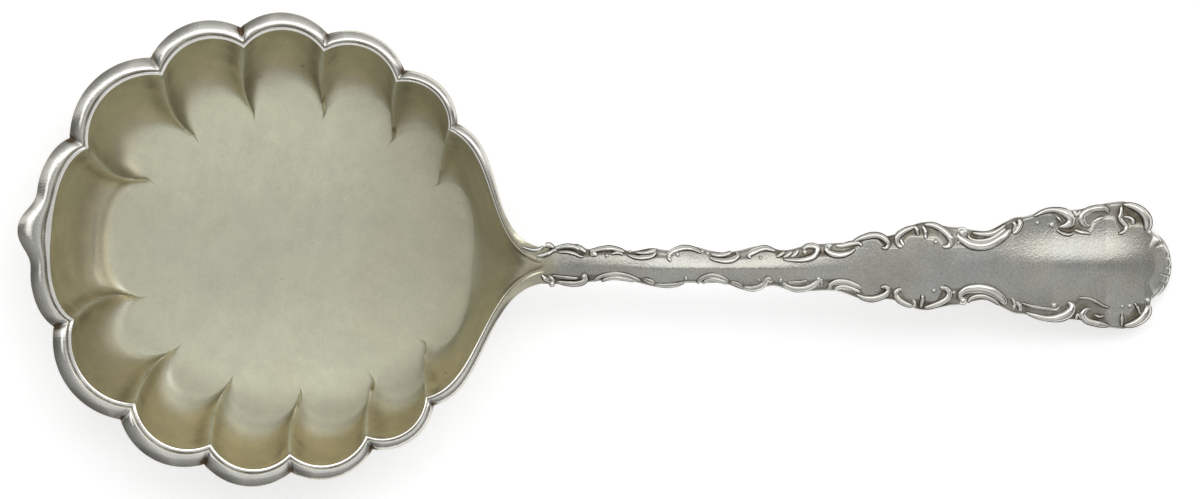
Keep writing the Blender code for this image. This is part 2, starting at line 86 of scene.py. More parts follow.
# Strokes of the scroll borders: half widths, spread evenly along the stroke, then the points that its middle
# runs through; millimetres along the handle from the neck line and away from its axis
LEFT_STROKES = (
    ((0.06, 0.1, 0.09), ((-0.3, 1.92), (0.3, 1.72), (0.9, 1.6), (1.5, 1.68), (1.95, 2.0))),
    ((0.1, 0.16, 0.12), ((1.2, 0.98), (1.8, 1.05), (2.4, 1.25), (2.9, 1.55), (3.3, 1.6))),
    ((0.12, 0.2, 0.1), ((2.1, 2.1), (2.5, 2.1), (3.0, 1.85))),
    ((0.1, 0.18, 0.16), ((3.0, 1.7), (3.65, 1.9), (4.4, 2.0), (5.15, 1.9), (5.7, 1.6))),
    ((0.12, 0.2, 0.12), ((5.4, 2.05), (5.85, 1.7), (6.35, 1.35))),
    ((0.1, 0.15, 0.1), ((3.4, 1.4), (4.3, 1.42), (5.1, 1.25), (5.7, 0.98), (6.1, 0.9))),
    ((0.14, 0.26, 0.14), ((6.85, 0.95), (7.05, 1.25), (7.5, 1.1))),
    ((0.12, 0.2, 0.14), ((6.7, 1.5), (7.4, 1.6), (8.0, 1.72), (8.9, 1.78), (9.8, 1.6), (10.35, 1.4))),
    ((0.1, 0.13, 0.1), ((8.9, 1.2), (9.6, 1.35), (10.2, 1.15))),
    ((0.1, 0.2, 0.14), ((10.6, 1.15), (11.5, 0.86), (12.4, 0.85), (13.2, 1.0), (13.65, 1.4))),
    ((0.08, 0.14, 0.18), ((11.5, 1.32), (12.3, 1.3), (13.0, 1.42), (13.6, 1.6))),
    ((0.12, 0.2, 0.12), ((15.2, 0.4), (14.92, 0.75), (15.05, 1.2), (15.6, 1.6), (16.4, 1.82), (17.2, 1.8),
        (17.9, 1.55), (18.3, 1.3))),
    ((0.12, 0.18, 0.24, 0.14), ((19.1, 0.85), (19.8, 0.62), (20.8, 0.5), (21.6, 0.65), (22.1, 1.0),
        (21.95, 1.35))),
    ((0.1, 0.15, 0.12), ((19.3, 1.2), (20.1, 1.05), (20.85, 1.15), (21.45, 1.38))),
    ((0.14, 0.24, 0.2, 0.1), ((23.5, 0.75), (23.25, 1.05), (23.7, 1.4), (24.3, 1.68), (25.1, 1.78),
        (26.0, 1.5))),
    ((0.08, 0.15, 0.1), ((26.05, 0.9), (26.5, 1.1), (26.95, 1.4))),
    ((0.08, 0.15, 0.1), ((26.8, 0.85), (27.25, 1.05), (27.7, 1.4))),
    ((0.08, 0.15, 0.1), ((27.6, 0.9), (28.05, 1.15), (28.4, 1.6))),
    ((0.1, 0.16, 0.24, 0.24, 0.18), ((26.8, 0.65), (27.8, 0.58), (28.8, 0.6), (29.7, 0.82), (30.25, 1.25),
        (30.35, 1.75), (29.95, 2.0), (29.3, 1.98), (28.8, 1.65))),
    ((0.16, 0.26, 0.22, 0.12), ((31.25, 2.1), (31.35, 1.55), (31.9, 1.2), (32.8, 1.1), (33.7, 1.35),
        (34.3, 1.75))),
    ((0.12, 0.2, 0.12), ((32.2, 2.05), (33.0, 2.05), (33.9, 2.25), (34.7, 2.3), (35.0, 1.95))),
    ((0.12, 0.24, 0.24, 0.12), ((34.1, 2.5), (35.0, 2.85), (36.0, 3.1), (36.8, 3.05), (37.4, 2.7),
        (37.75, 2.25), (37.5, 1.85), (37.0, 1.85))),
    ((0.14, 0.24, 0.15), ((39.25, 1.9), (38.8, 2.1), (38.6, 2.6), (38.8, 3.1), (39.3, 3.5), (39.9, 3.8),
        (40.5, 4.0))),
    ((0.08, 0.14, 0.08), ((39.0, 2.75), (39.15, 2.4), (39.4, 1.95))),
    ((0.13, 0.17, 0.12), ((40.4, 4.1), (40.7, 3.7), (40.85, 3.1))),
    ((0.13, 0.17, 0.1), ((41.3, 4.1), (41.6, 3.5), (41.65, 2.75))),
    ((0.18, 0.24, 0.28, 0.14), ((41.5, 4.25), (42.3, 4.2), (43.1, 3.85), (43.8, 3.3), (44.25, 2.7),
        (44.2, 2.2), (43.8, 1.97), (43.3, 1.97))),
    ((0.25, 0.36, 0.36, 0.28), ((45.1, 3.6), (45.2, 2.9), (45.7, 2.5), (46.4, 2.15), (47.4, 2.0),
        (48.3, 2.18), (49.1, 2.6), (49.9, 3.15), (50.55, 3.8))),
    ((0.1, 0.15, 0.22), ((46.05, 3.15), (46.3, 2.8), (46.9, 2.6), (47.8, 2.62), (48.6, 2.85), (49.3, 3.25),
        (50.0, 3.85))),
    ((0.1, 0.2, 0.14), ((46.5, 3.4), (47.5, 3.25), (48.5, 3.32), (49.3, 3.7), (49.95, 4.2))),
    ((0.14, 0.17, 0.1), ((50.75, 4.55), (51.0, 4.05), (50.75, 3.45))),
    ((0.2, 0.24, 0.12), ((51.35, 4.8), (51.5, 4.3), (51.2, 3.7), (50.7, 3.3))),
    ((0.1, 0.17, 0.2, 0.36, 0.36, 0.12), ((52.9, 5.1), (53.6, 5.45), (54.5, 5.72), (55.4, 5.72),
        (56.2, 5.45), (56.75, 5.0), (56.8, 4.5), (56.3, 4.15), (55.55, 4.0))),
    ((0.06, 0.12, 0.06), ((55.3, 5.1), (55.6, 4.85), (55.9, 4.5))),
    ((0.08, 0.13, 0.1), ((55.3, 3.7), (55.9, 3.38), (56.6, 3.22), (57.1, 3.4))),
    ((0.1, 0.15, 0.08), ((57.2, 3.7), (57.8, 3.5), (58.5, 3.4), (58.9, 3.25))),
    ((0.1, 0.15, 0.1), ((57.1, 5.7), (57.45, 5.25), (57.85, 5.65))),
    ((0.1, 0.28, 0.27, 0.24, 0.25, 0.14), ((58.95, 4.1), (58.35, 4.2), (57.98, 4.75), (58.15, 5.35),
        (58.8, 5.75), (59.7, 5.95), (60.5, 5.85), (60.8, 5.4))),
    ((0.06, 0.12, 0.07), ((59.15, 4.5), (59.7, 4.85), (60.35, 5.05))),
    ((0.13, 0.18, 0.2, 0.17, 0.1), ((62.12, 6.2), (62.12, 5.5), (61.98, 4.9), (62.3, 4.45), (62.6, 4.05),
        (62.45, 3.6), (61.8, 3.25))),
    ((0.08, 0.14, 0.2), ((62.4, 5.08), (62.9, 5.0), (63.3, 4.75), (63.38, 4.25))),
    ((0.14, 0.26, 0.34, 0.38, 0.3), ((62.3, 6.35), (63.2, 6.2), (64.1, 5.75), (64.75, 5.0), (64.9, 4.2),
        (64.75, 3.6))),
)
RIGHT_STROKES = (
    ((0.08, 0.2, 0.14), ((1.75, 0.95), (2.05, 1.3), (2.55, 1.72))),
    ((0.08, 0.16, 0.1), ((2.4, 1.05), (2.75, 1.35), (3.05, 1.75))),
    ((0.1, 0.15, 0.12), ((2.75, 1.05), (3.65, 1.2), (4.55, 1.3), (5.5, 1.35))),
    ((0.12, 0.2, 0.22, 0.2), ((3.3, 1.68), (4.2, 1.82), (5.1, 1.88), (5.9, 1.75), (6.3, 1.4), (6.15, 1.05),
        (5.85, 1.1))),
    ((0.14, 0.18, 0.16), ((7.1, 1.6), (7.7, 1.22), (8.5, 0.98), (9.5, 0.9), (10.5, 1.05), (11.4, 1.38),
        (12.0, 1.6))),
    ((0.1, 0.14, 0.1), ((7.9, 1.62), (8.5, 1.38), (9.4, 1.28), (10.5, 1.42), (11.3, 1.62))),
    ((0.1, 0.18, 0.12), ((12.3, 1.4), (12.9, 1.6), (13.45, 1.85))),
    ((0.1, 0.16, 0.1), ((13.45, 1.98), (14.45, 2.08), (15.6, 2.02), (16.5, 1.75))),
    ((0.14, 0.2, 0.14), ((17.8, 1.85), (18.3, 1.4), (18.9, 1.12), (19.6, 1.06), (20.4, 1.28),
        (21.15, 1.65))),
    ((0.1, 0.15, 0.1), ((18.4, 1.85), (18.9, 1.55), (19.6, 1.45), (20.4, 1.62), (21.0, 1.85))),
    ((0.1, 0.16, 0.12), ((21.4, 1.7), (22.05, 1.95), (22.6, 2.25))),
    ((0.12, 0.22, 0.22, 0.2), ((22.6, 2.28), (23.4, 2.4), (24.1, 2.3), (24.7, 2.0), (25.0, 1.6),
        (25.3, 1.4), (25.6, 1.75))),
    ((0.12, 0.22, 0.22, 0.16), ((26.75, 1.75), (27.2, 2.15), (28.0, 2.42), (28.9, 2.42), (29.7, 2.15),
        (30.4, 1.7), (30.75, 1.55), (30.8, 2.1))),
    ((0.08, 0.14, 0.08), ((27.3, 1.75), (28.3, 1.78), (29.3, 1.6))),
    ((0.16, 0.24, 0.22, 0.14), ((31.45, 2.5), (31.8, 1.95), (32.5, 1.7), (33.4, 1.75), (34.3, 2.05),
        (34.95, 2.4))),
    ((0.12, 0.17, 0.12), ((32.1, 2.55), (32.5, 2.28), (33.1, 2.2), (34.0, 2.42), (34.85, 2.8))),
    ((0.12, 0.24, 0.24, 0.16), ((34.4, 3.0), (35.2, 3.36), (36.1, 3.46), (36.9, 3.25), (37.5, 2.95),
        (37.75, 2.55), (37.4, 2.25), (36.9, 2.3))),
    ((0.18, 0.22, 0.16), ((39.2, 2.5), (38.7, 2.6), (38.5, 3.0), (38.85, 3.55), (39.5, 3.95),
        (40.3, 4.25))),
    ((0.13, 0.17, 0.1), ((40.3, 3.55), (40.5, 4.0), (40.35, 4.35))),
    ((0.14, 0.18, 0.13), ((41.3, 3.05), (41.3, 3.6), (41.1, 4.35))),
    ((0.18, 0.22, 0.26, 0.2), ((41.5, 4.4), (42.3, 4.2), (43.1, 3.9), (43.8, 3.5), (44.1, 3.0),
        (43.85, 2.5), (43.2, 2.25))),
    ((0.24, 0.38, 0.4, 0.3), ((45.15, 3.6), (45.3, 2.95), (45.9, 2.55), (46.8, 2.4), (47.7, 2.45),
        (48.6, 2.75), (49.4, 3.3), (50.1, 4.0))),
    ((0.12, 0.18, 0.14), ((46.0, 3.85), (46.4, 3.4), (47.1, 3.18), (47.9, 3.25), (48.7, 3.6),
        (49.35, 4.05))),
    ((0.13, 0.17, 0.1), ((50.75, 4.5), (50.95, 4.0), (50.6, 3.4))),
    ((0.16, 0.2, 0.12), ((51.45, 4.75), (51.5, 4.3), (51.1, 3.75))),
    ((0.1, 0.18, 0.22, 0.36, 0.4, 0.22), ((52.1, 4.9), (53.0, 5.2), (54.0, 5.45), (55.0, 5.5), (55.9, 5.3),
        (56.65, 4.9), (56.95, 4.3), (56.5, 3.8))),
    ((0.08, 0.13, 0.12, 0.1), ((51.6, 3.9), (52.5, 4.2), (53.5, 4.42), (54.5, 4.52), (55.3, 4.6),
        (55.75, 4.2))),
    ((0.07, 0.12, 0.07), ((57.6, 3.4), (58.6, 3.45), (59.5, 3.8), (60.2, 4.2), (60.9, 4.4))),
    ((0.1, 0.15, 0.1), ((57.3, 5.6), (57.6, 5.15), (57.9, 5.55))),
    ((0.1, 0.24, 0.25, 0.24, 0.14), ((59.0, 4.5), (58.35, 4.65), (58.05, 5.15), (58.5, 5.72), (59.4, 6.0),
        (60.3, 6.2), (60.85, 6.3))),
    ((0.06, 0.11, 0.06), ((59.3, 5.15), (59.8, 5.35), (60.35, 5.25))),
    ((0.1, 0.15, 0.1), ((62.15, 6.3), (62.2, 5.7), (62.2, 5.05))),
    ((0.08, 0.13, 0.08), ((63.5, 3.9), (63.9, 4.5), (64.1, 5.1))),
    ((0.14, 0.26, 0.34, 0.38, 0.3), ((62.4, 6.3), (63.3, 6.1), (64.15, 5.65), (64.75, 4.95), (64.95, 4.1))),
)

# Beads between the scrolls: distance along the handle, away from its axis, and radius, in millimetres
LEFT_BEADS = (
    (8.5, 1.0, 0.2), (10.9, 1.38, 0.14), (15.85, 1.1, 0.22), (18.4, 1.42, 0.18), (18.95, 1.2, 0.2),
    (24.45, 0.78, 0.17), (29.05, 1.35, 0.26), (31.55, 1.95, 0.32), (42.65, 2.45, 0.26), (45.0, 2.35, 0.17),
    (45.4, 3.4, 0.56), (53.25, 4.45, 0.24), (54.75, 4.25, 0.34), (65.0, 3.45, 0.26),
)
RIGHT_BEADS = (
    (2.8, 1.9, 0.3), (6.1, 1.15, 0.28), (16.7, 1.3, 0.19), (24.25, 1.5, 0.14), (25.15, 1.42, 0.22),
    (26.55, 1.5, 0.21), (30.45, 1.4, 0.27), (36.5, 2.6, 0.12), (38.65, 2.65, 0.24), (42.45, 2.6, 0.24),
    (43.3, 2.3, 0.26), (44.55, 2.8, 0.18), (45.5, 3.65, 0.42), (55.0, 4.1, 0.29), (62.2, 4.25, 0.18),
    (62.95, 4.2, 0.25), (64.8, 3.6, 0.28),
)


def a_length(name, description, millimetres):
    """A length that the user can set, given in millimetres."""
    return FloatProperty(name=name, description=description, default=millimetres * MM, unit="LENGTH")


def an_angle(name, description, degrees):
    """An angle that the user can set, given in degrees."""
    return FloatProperty(name=name, description=description, default=math.radians(degrees), subtype="ANGLE")


def a_share(name, description, value, most=1.0):
    """A plain ratio that the user can set."""
    return FloatProperty(
        name=name, description=description, default=value, subtype="FACTOR", min=0.0, max=most
    )


def some_degrees(name, description, *degrees):
    """A row of directions, in degrees, that the user can set."""
    return FloatVectorProperty(name=name, description=description, default=degrees, size=len(degrees))


def a_colour(name, description, *colour):
    """A colour that the user can set: linear red, green and blue."""
    return FloatVectorProperty(
        name=name, description=description, default=colour, subtype="COLOR", size=3, min=0.0, max=1.0
    )


class BowlSizes(bpy.types.PropertyGroup):
    """Sizes of the bowl."""

    seat_height: a_length("Seat height", "Table to the flange under the rim", 9.3)
    floor_height: a_length("Floor height", "Table to the lowest point of the floor", 0.9)
    floor_dish: a_length("Floor dish", "Rise of the floor from its middle to its edge", 0.25)
    wall: a_length("Wall", "Thickness of the shell", 1.0)
    flange: a_length("Flange", "Thickness of the flange", 0.9)
    notch_half_length: a_length("Notch half length", "Notches of the rim: reach along the bowl", 22.3)
    notch_half_breadth: a_length("Notch half breadth", "Notches of the rim: reach across", 21.2)
    floor_half_length: a_length("Floor half length", "Oval of the ridge ends, along the bowl", 17.2)
    floor_half_breadth: a_length("Floor half breadth", "Oval of the ridge ends, across", 14.4)
    floor_shift: a_length("Floor shift", "Shift of that oval towards the handle", 1.9)
    flute_reach: a_length("Flute reach", "Foot of a flute past its ridge ends", 3.7)
    tip_reach: a_length("Tip reach", "Foot of the tip's flute past its ridge ends", 3.1)
    ridge_bow: a_length("Ridge bow", "Bow of each ridge towards the tip", 0.3)
    tip_bow: a_length("Tip bow", "Bow that is added towards the tip", 0.9)
    pinch: a_length("Pinch", "Rise of each ridge at its end on the floor", 0.3)
    shoulder_swell: a_length("Shoulder swell", "Swell of the last lobe", 6.2)
    shoulder_angle: an_angle("Shoulder angle", "Direction of that swell", -18)
    neck_sweep: a_length("Neck sweep", "Length of the sweep into the neck", 6.6)
    neck_level: a_length("Neck level", "Level end of the tongue", 3.0)
    reach: a_length("Reach", "Centre of the bowl to the neck line", 26.0)
    turn: an_angle("Turn", "Turn of the bowl against the handle", 4.8)
    notch_angles: some_degrees(
        "Notch angles", "Notches, neck to tip, in degrees", 39.6, 59.2, 81.2, 103.7, 127.7, 156.2
    )
    ridge_angles: some_degrees(
        "Ridge angles", "Ridge ends, neck to tip, in degrees", 34.4, 58.2, 83.8, 108.4, 130.9, 154.9
    )
    lobe_columns: IntProperty(name="Lobe columns", description="Columns of points in one lobe", default=44)


class RimSizes(bpy.types.PropertyGroup):
    """Sizes of the rim wire."""

    width: a_length("Width", "Full width of the wire", 2.25)
    neck_width: a_length("Neck width", "Width near the neck", 0.8)
    neck_gap: a_length("Neck gap", "Half gap at the neck's end", 0.15)
    neck_spread: a_length("Neck spread", "Half gap where the sweep to the neck starts", 0.6)
    full_angle: an_angle("Full angle", "Where the wire gets its full width", 120)
    height: a_length("Height", "Height of the wire", 1.3)
    neck_height: a_length("Neck height", "Height at the neck", 0.28)
    lobe_rise: a_share("Lobe rise", "Inner lobes over their chord", 0.25)
    outer_rise: a_share("Outer rise", "Outer lobes over their chord", 0.21)
    tip_rise: a_share("Tip rise", "Tip lobe over its chord", 0.165)
    tip_point: a_length("Tip point", "Extra width at the point", 1.3)
    tip_fullness: a_length("Tip fullness", "Swell of the tip lobe beside its notches", 0.65)
    tip_hollow: a_length("Tip hollow", "Narrowing of the rim before the point", 0.35)
    crease: a_length("Crease", "Depth of the fold at a notch", 0.22)


class HandleSizes(bpy.types.PropertyGroup):
    """Sizes of the handle."""

    length: a_length("Length", "Neck line to the end", 67.4)
    step: a_length("Step", "Handle axis over the bowl's axis", 0.6)
    tongue: a_length("Tongue", "Bowl's tongue past the neck line", 2.1)
    neck_half_width: a_length("Neck half width", "Half width at the neck", 1.8)
    neck_thickness: a_length("Neck thickness", "Thickness at the neck", 2.3)
    end_thickness: a_length("End thickness", "Thickness at the end", 1.5)
    arch: a_length("Arch", "Rise of the underside", 5.0)
    edge: a_length("Edge", "Rounding of the edge", 0.5)
    lobe_half_width: a_length("Lobe half width", "Half width of the end lobe", 3.3)
    lobe_depth: a_length("Lobe depth", "Length of the end lobe", 2.0)
    recess: a_length("Recess", "Depth of the ground between scrolls", 0.08)
    boldness: a_share("Boldness", "Widening of every stroke", 1.25, most=2.0)
    relief: a_share("Relief", "Height of a stroke over its half width", 0.8)


class Finishes(bpy.types.PropertyGroup):
    """Colours and gloss of the finishes."""

    floor_gilding: a_colour("Floor gilding", "Rubbed gilding in the middle of the floor", 0.615, 0.62, 0.505)
    side_gilding: a_colour("Side gilding", "Rubbed gilding towards the sides", 0.745, 0.745, 0.6)
    lower_gold: a_colour("Lower gold", "Deeper gold up the flutes towards -Y", 0.735, 0.645, 0.425)
    upper_gold: a_colour("Upper gold", "Deeper gold up the flutes towards +Y", 0.705, 0.66, 0.487)
    neck_gold: a_colour("Neck gold", "Dusky gold towards the neck", 0.545, 0.515, 0.38)
    # Painted shade: the colour laid on the ridges' dark flanks, the dim flute and bands near the tip, the
    # shaded feet of the lower flutes and the neck
    painted_shade_gold: a_colour("Flank gold", "Dark flank of each ridge", 0.31, 0.29, 0.21)
    # Painted highlight: the colour of the lit ridge ends, the glints beside the ridges and the light band
    # across the tip's flute
    painted_highlight_gold: a_colour("Bright gold", "Rubbed ridge ends", 0.97, 0.93, 0.76)
    bowl_back: a_colour("Bowl back", "Silver outside of the bowl", 0.66, 0.65, 0.605)
    # Tarnish specks in the flutes, and painted shade up the walls beside the ridges and at the neck
    bowl_tarnish_and_shade: a_colour("Bowl tarnish", "Tarnish in the flutes", 0.16, 0.13, 0.08)
    rim_silver: a_colour("Rim silver", "Rim wire", 0.74, 0.735, 0.69)
    rim_clouds: a_colour("Rim clouds", "Second tone of the rim wire", 0.7, 0.69, 0.63)
    rim_gilding: a_colour("Rim gilding", "Warm tone of the rim at the neck", 0.52, 0.49, 0.38)
    # Painted highlight along the rim's inner lip
    rim_lip_highlight: a_colour("Rim lip", "Rubbed inner lip of the rim", 0.92, 0.91, 0.86)
    # Brown dirt at the notches, and painted shade in the folds and along the groove
    rim_dirt_and_shade: a_colour("Rim tarnish", "Tarnish in the folds", 0.135, 0.1, 0.062)
    handle_silver: a_colour("Handle silver", "Satin field of the handle", 0.425, 0.43, 0.405)
    handle_clouds: a_colour("Handle clouds", "Second tone of the field", 0.425, 0.413, 0.36)
    handle_gilding: a_colour("Handle gilding", "Warm tone of the field at the neck", 0.4, 0.37, 0.275)
    # Painted highlight on the front edge of the end shell
    shell_edge_highlight: a_colour("Shell edge", "Rubbed edge of the end shell", 0.8, 0.79, 0.74)
    # Tarnish and painted shade among the scrolls and in the shell's grooves
    handle_tarnish_and_shade: a_colour("Handle tarnish", "Tarnish between the scrolls", 0.17, 0.145, 0.105)
    scroll_silver: a_colour("Scroll silver", "Raised scrolls", 0.85, 0.84, 0.78)
    # Painted shade at the feet of the scrolls and beads, and light tarnish over the scrolls
    scroll_tarnish_and_shade: a_colour("Scroll tarnish", "Dark line at the scrolls' feet", 0.1, 0.08, 0.055)
    table: a_colour("Table", "Floor under the spoon", 0.86, 0.86, 0.86)
    bowl_roughness: a_share("Bowl roughness", "Roughness of the bowl's silver", 0.3)
    rim_roughness: a_share("Rim roughness", "Roughness of the rim wire", 0.12)
    handle_roughness: a_share("Handle roughness", "Roughness of the handle", 0.22)
    scroll_roughness: a_share("Scroll roughness", "Roughness of the scrolls", 0.09)


def s_curve(value, start=0.0, length=1.0):
    """0 up to a start, 1 from a length after it, and a cubic S-curve between."""
    held = np.clip((value - start) / length, 0.0, 1.0)
    return held * held * (3 - 2 * held)


def bell(value):
    """A bell curve: e to the power of minus the value squared."""
    return np.exp(-(value**2))


def turned(points, angle):
    """Plan points turned about the origin by an angle in radians."""
    turn = np.array([[math.cos(angle), math.sin(angle)], [-math.sin(angle), math.cos(angle)]])
    return np.asarray(points) @ turn


def with_height(plan, level):
    """Plan points, each with its height as a third number."""
    return np.concatenate([plan, level[..., None]], axis=-1)


def pushed(line, distance):
    """A plan line with each point moved straight away from the origin."""
    return line * (1 + distance / np.linalg.norm(line, axis=1))[:, None]


def cubic_curve(start, first, second, end, steps):
    """A cubic curve: its two ends and the two points it leans to, each weighed by a cubic of the share along.

    The end itself is left to the next line.
    """
    t = np.linspace(0, 1, steps, endpoint=False)[:, None]
    return start * (1 - t) ** 3 + first * 3 * t * (1 - t) ** 2 + second * 3 * t**2 * (1 - t) + end * t**3


def arc(start, end, rise, steps):
    """A circular arc over a chord, its height a share of the chord, without its end."""
    half_angle = 2 * math.atan(2 * rise)
    chord = end - start
    size = np.linalg.norm(chord)
    radius = size / 2 / math.sin(half_angle)
    along = chord / size
    outward = np.array([along[1], -along[0]])
    centre = (start + end) / 2 - outward * radius * math.cos(half_angle)
    angle = np.linspace(-half_angle, half_angle, steps, endpoint=False)[:, None]
    return centre + radius * (along * np.sin(angle) + outward * np.cos(angle))


def half_ellipse(start, end, reach, steps):
    """Half an ellipse over a chord, of a given reach, without its end."""
    chord = end - start
    outward = np.array([chord[1], -chord[0]]) / np.linalg.norm(chord)
    angle = np.linspace(0, math.pi, steps, endpoint=False)[:, None]
    return (start + end) / 2 - chord / 2 * np.cos(angle) + outward * reach * np.sin(angle)


def curve_through(points, steps):
    """A smooth line through points, taken at equal distances along it.

    Between two points it is a cubic whose slope at each is half the step between that point's neighbours.
    """
    between = 24
    p = np.asarray(points, float)
    p = np.concatenate([[2 * p[0] - p[1]], p, [2 * p[-1] - p[-2]]])
    t = np.linspace(0, 1, between, endpoint=False)[None, :, None]
    a, b, c, d = (p[i : len(p) - 3 + i][:, None, :] for i in range(4))
    line = b + t * (c - a) / 2 + t**2 * (a - 2.5 * b + 2 * c - d / 2) + t**3 * (1.5 * (b - c) + (d - a) / 2)
    line = np.concatenate([line.reshape(-1, 2), p[-2:-1]])
    travelled = np.concatenate([[0], np.cumsum(np.linalg.norm(np.diff(line, axis=0), axis=1))])
    at = np.linspace(0, travelled[-1], steps)
    return np.column_stack([np.interp(at, travelled, line[:, axis]) for axis in (0, 1)])


def handle_origin(bowl, handle):
    """The neck line on the handle's axis."""
    return turned((bowl.reach, 0.0), -bowl.turn) + (0.0, handle.step)


def placed(rows, bowl, handle, on_handle):
    """Points of the bowl's or the handle's own frame, brought into the spoon's."""
    rows = np.array(rows)
    if on_handle:
        rows[..., :2] += handle_origin(bowl, handle)
    else:
        rows[..., :2] = turned(rows[..., :2], -bowl.turn)
    return rows


def rim_width(rim, degrees):
    """Width of the rim wire: an S-curve from the neck to its full width."""
    share = np.abs(np.radians(degrees)) / rim.full_angle
    return rim.neck_width + (rim.width - rim.neck_width) * s_curve(share)


def tip_lines(rim, inner, width):
    """The inner and outer lines of the tip lobe, both pushed out from the plain arc.

    The inner line swells beside its notches, as a value times its falling exponential. The outer one has the
    wire's width over it, less a bell curve before the point and plus a high power of a sine at the point.
    """
    share = np.linspace(0, 1, len(inner), endpoint=False)
    from_end = np.minimum(share, 1 - share)
    fullest, hollowest, hollow_length, sharpness = 0.14, 0.35, 0.07, 14
    inner = pushed(inner, rim.tip_fullness * from_end / fullest * np.exp(1 - from_end / fullest))
    width = width + rim.tip_point * np.sin(math.pi * share) ** sharpness
    width = width - rim.tip_hollow * bell((from_end - hollowest) / hollow_length)
    return inner, pushed(inner, width)


def edge_lines(bowl, rim, handle):
    """Lines once round the bowl, in the bowl's own frame, each with the same columns.

    The foot line is half an ellipse for each flute, the inner and outer lines of the rim are an arc for each
    lobe, and a cubic sweep joins the last lobe of each side to the neck. Also gives how far each column is
    neck, its distance from the nearest notch, and its distance from a notch whose shaded side it is on.
    """
    parts = {name: [] for name in ("foot", "inner", "outer", "neck", "notch", "shaded")}
    columns = bowl.lobe_columns
    angles, ridges = np.array(bowl.notch_angles), np.array(bowl.ridge_angles)
    origin = handle_origin(bowl, handle)
    lap, far_off = 0.7 * MM, 20 * MM
    floor_end = bowl.floor_shift + bowl.floor_half_length
    neck_foot = np.array([floor_end + 1.2 * MM, 0.9 * MM])
    shoulder_foot = np.array([floor_end + 1.6 * MM, 5.0 * MM])

    def add(*values):
        for name, value in zip(parts, values, strict=True):
            parts[name].append(value)

    def corner(side, half_width):
        return turned(origin + (handle.tongue + lap, side * half_width), bowl.turn)

    def notch(degrees, extra=0.0):
        angle = math.radians(degrees)
        radius = bowl.notch_half_breadth
        radius += (bowl.notch_half_length - bowl.notch_half_breadth) * math.cos(angle) ** 2
        return (radius + extra) * np.array([math.cos(angle), math.sin(angle)])

    def ridge_end(degrees):
        angle = math.radians(degrees)
        along = bowl.floor_shift + bowl.floor_half_length * math.cos(angle)
        return np.array([along, bowl.floor_half_breadth * math.sin(angle)])

    def travelled(line, end):
        steps = np.linalg.norm(np.diff(np.vstack([line, [end]]), axis=0), axis=1)
        return np.concatenate([[0], np.cumsum(steps)])

    def shoulder(side):
        steps = 2 * columns
        mirror = np.array([1, side])
        swell = bowl.shoulder_swell * mirror * (math.cos(bowl.shoulder_angle), math.sin(bowl.shoulder_angle))
        runs = []
        for at_notch, at_end, at_sweep in (
            (0.0, rim.neck_gap, rim.neck_spread),
            (rim_width(rim, angles[0]), handle.neck_half_width, handle.neck_half_width),
        ):
            start = notch(side * angles[0], at_notch)
            sweep = corner(side, at_sweep) - turned((bowl.neck_sweep + lap, 0.0), bowl.turn)
            controls = (corner(side, at_end), sweep, start + swell, start)
            runs.append(cubic_curve(*controls[::side], steps))
        share = np.linspace(0, 1, steps, endpoint=False)
        far = travelled(runs[0], notch(side * angles[0]))
        ridge = ridge_end(side * ridges[0])
        foot = cubic_curve(*(neck_foot * mirror, shoulder_foot * mirror, 1.2 * ridge, ridge)[::side], steps)
        neck, distance = (1 - share, far[-1] - far[:-1]) if side > 0 else (share, far[:-1])
        add(foot, *runs, neck, distance, np.full(steps, far_off))

    shoulder(1)
    notches_around = np.concatenate([angles, 360 - angles[::-1]])
    ridges_around = np.concatenate([ridges, 360 - ridges[::-1]])
    for (first, last), ridge_pair in zip(pairwise(notches_around), pairwise(ridges_around)):
        at_tip = first < 180 < last
        steps = 2 * columns if at_tip else columns
        ends = [a if a < 180 else a - 360 for a in (first, last)]
        widths = rim_width(rim, np.array(ends))
        inner = arc(notch(ends[0]), notch(ends[1]), rim.tip_rise if at_tip else rim.lobe_rise, steps)
        if at_tip:
            inner, outer = tip_lines(rim, inner, widths[0])
        else:
            outer = arc(notch(ends[0], widths[0]), notch(ends[1], widths[1]), rim.outer_rise, steps)
        far = travelled(inner, notch(ends[1]))
        back, ahead = far[:-1], far[-1] - far[:-1]
        shaded = np.minimum(back if first < 90 else far_off, ahead if last > 90 else far_off)
        reach = bowl.tip_reach if at_tip else bowl.flute_reach
        foot = half_ellipse(*map(ridge_end, ridge_pair), reach, steps)
        add(foot, inner, outer, np.zeros(steps), np.minimum(back, ahead), shaded)
    shoulder(-1)

    steps = columns // 2
    across = np.linspace(0, 1, steps, endpoint=False)[:, None]

    def neck_end(half_width):
        start, end = corner(-1, half_width), corner(1, half_width)
        return start + (end - start) * across

    foot = neck_foot * np.hstack([np.ones((steps, 1)), 2 * across - 1])
    away = np.full(steps, far_off)
    add(foot, neck_end(rim.neck_gap), neck_end(handle.neck_half_width), np.ones(steps), away, away)
    return {name: np.concatenate(values) for name, values in parts.items()}


def neck_sink(neck):
    """Drop of the tongue's end below the seat, so that the handle's field rises out of it: an S-curve."""
    depth = 0.12 * MM
    return depth * s_curve(neck, 0.8, 0.2)


def wall_rise(bowl, handle, share, neck, straight=0.17):
    """Height of the wall over its run: a straight slope and a quarter round, and an S-curve at the neck."""
    full = 0.96
    hollow = (1 - np.sqrt(1 - (full * share) ** 2)) / (1 - math.sqrt(1 - full**2))
    hollow = straight * share + (1 - straight) * hollow
    run = bowl.reach + handle.tongue - bowl.floor_shift - bowl.floor_half_length
    return hollow * (1 - neck) + s_curve(share * run / (run - bowl.neck_level)) * neck


def rounded(points, times):
    """Rows of points softened round the bowl: each becomes the mean of itself and its two neighbours."""
    for _ in range(times):
        points = points / 2 + (np.roll(points, 1, axis=1) + np.roll(points, -1, axis=1)) / 4
    return points


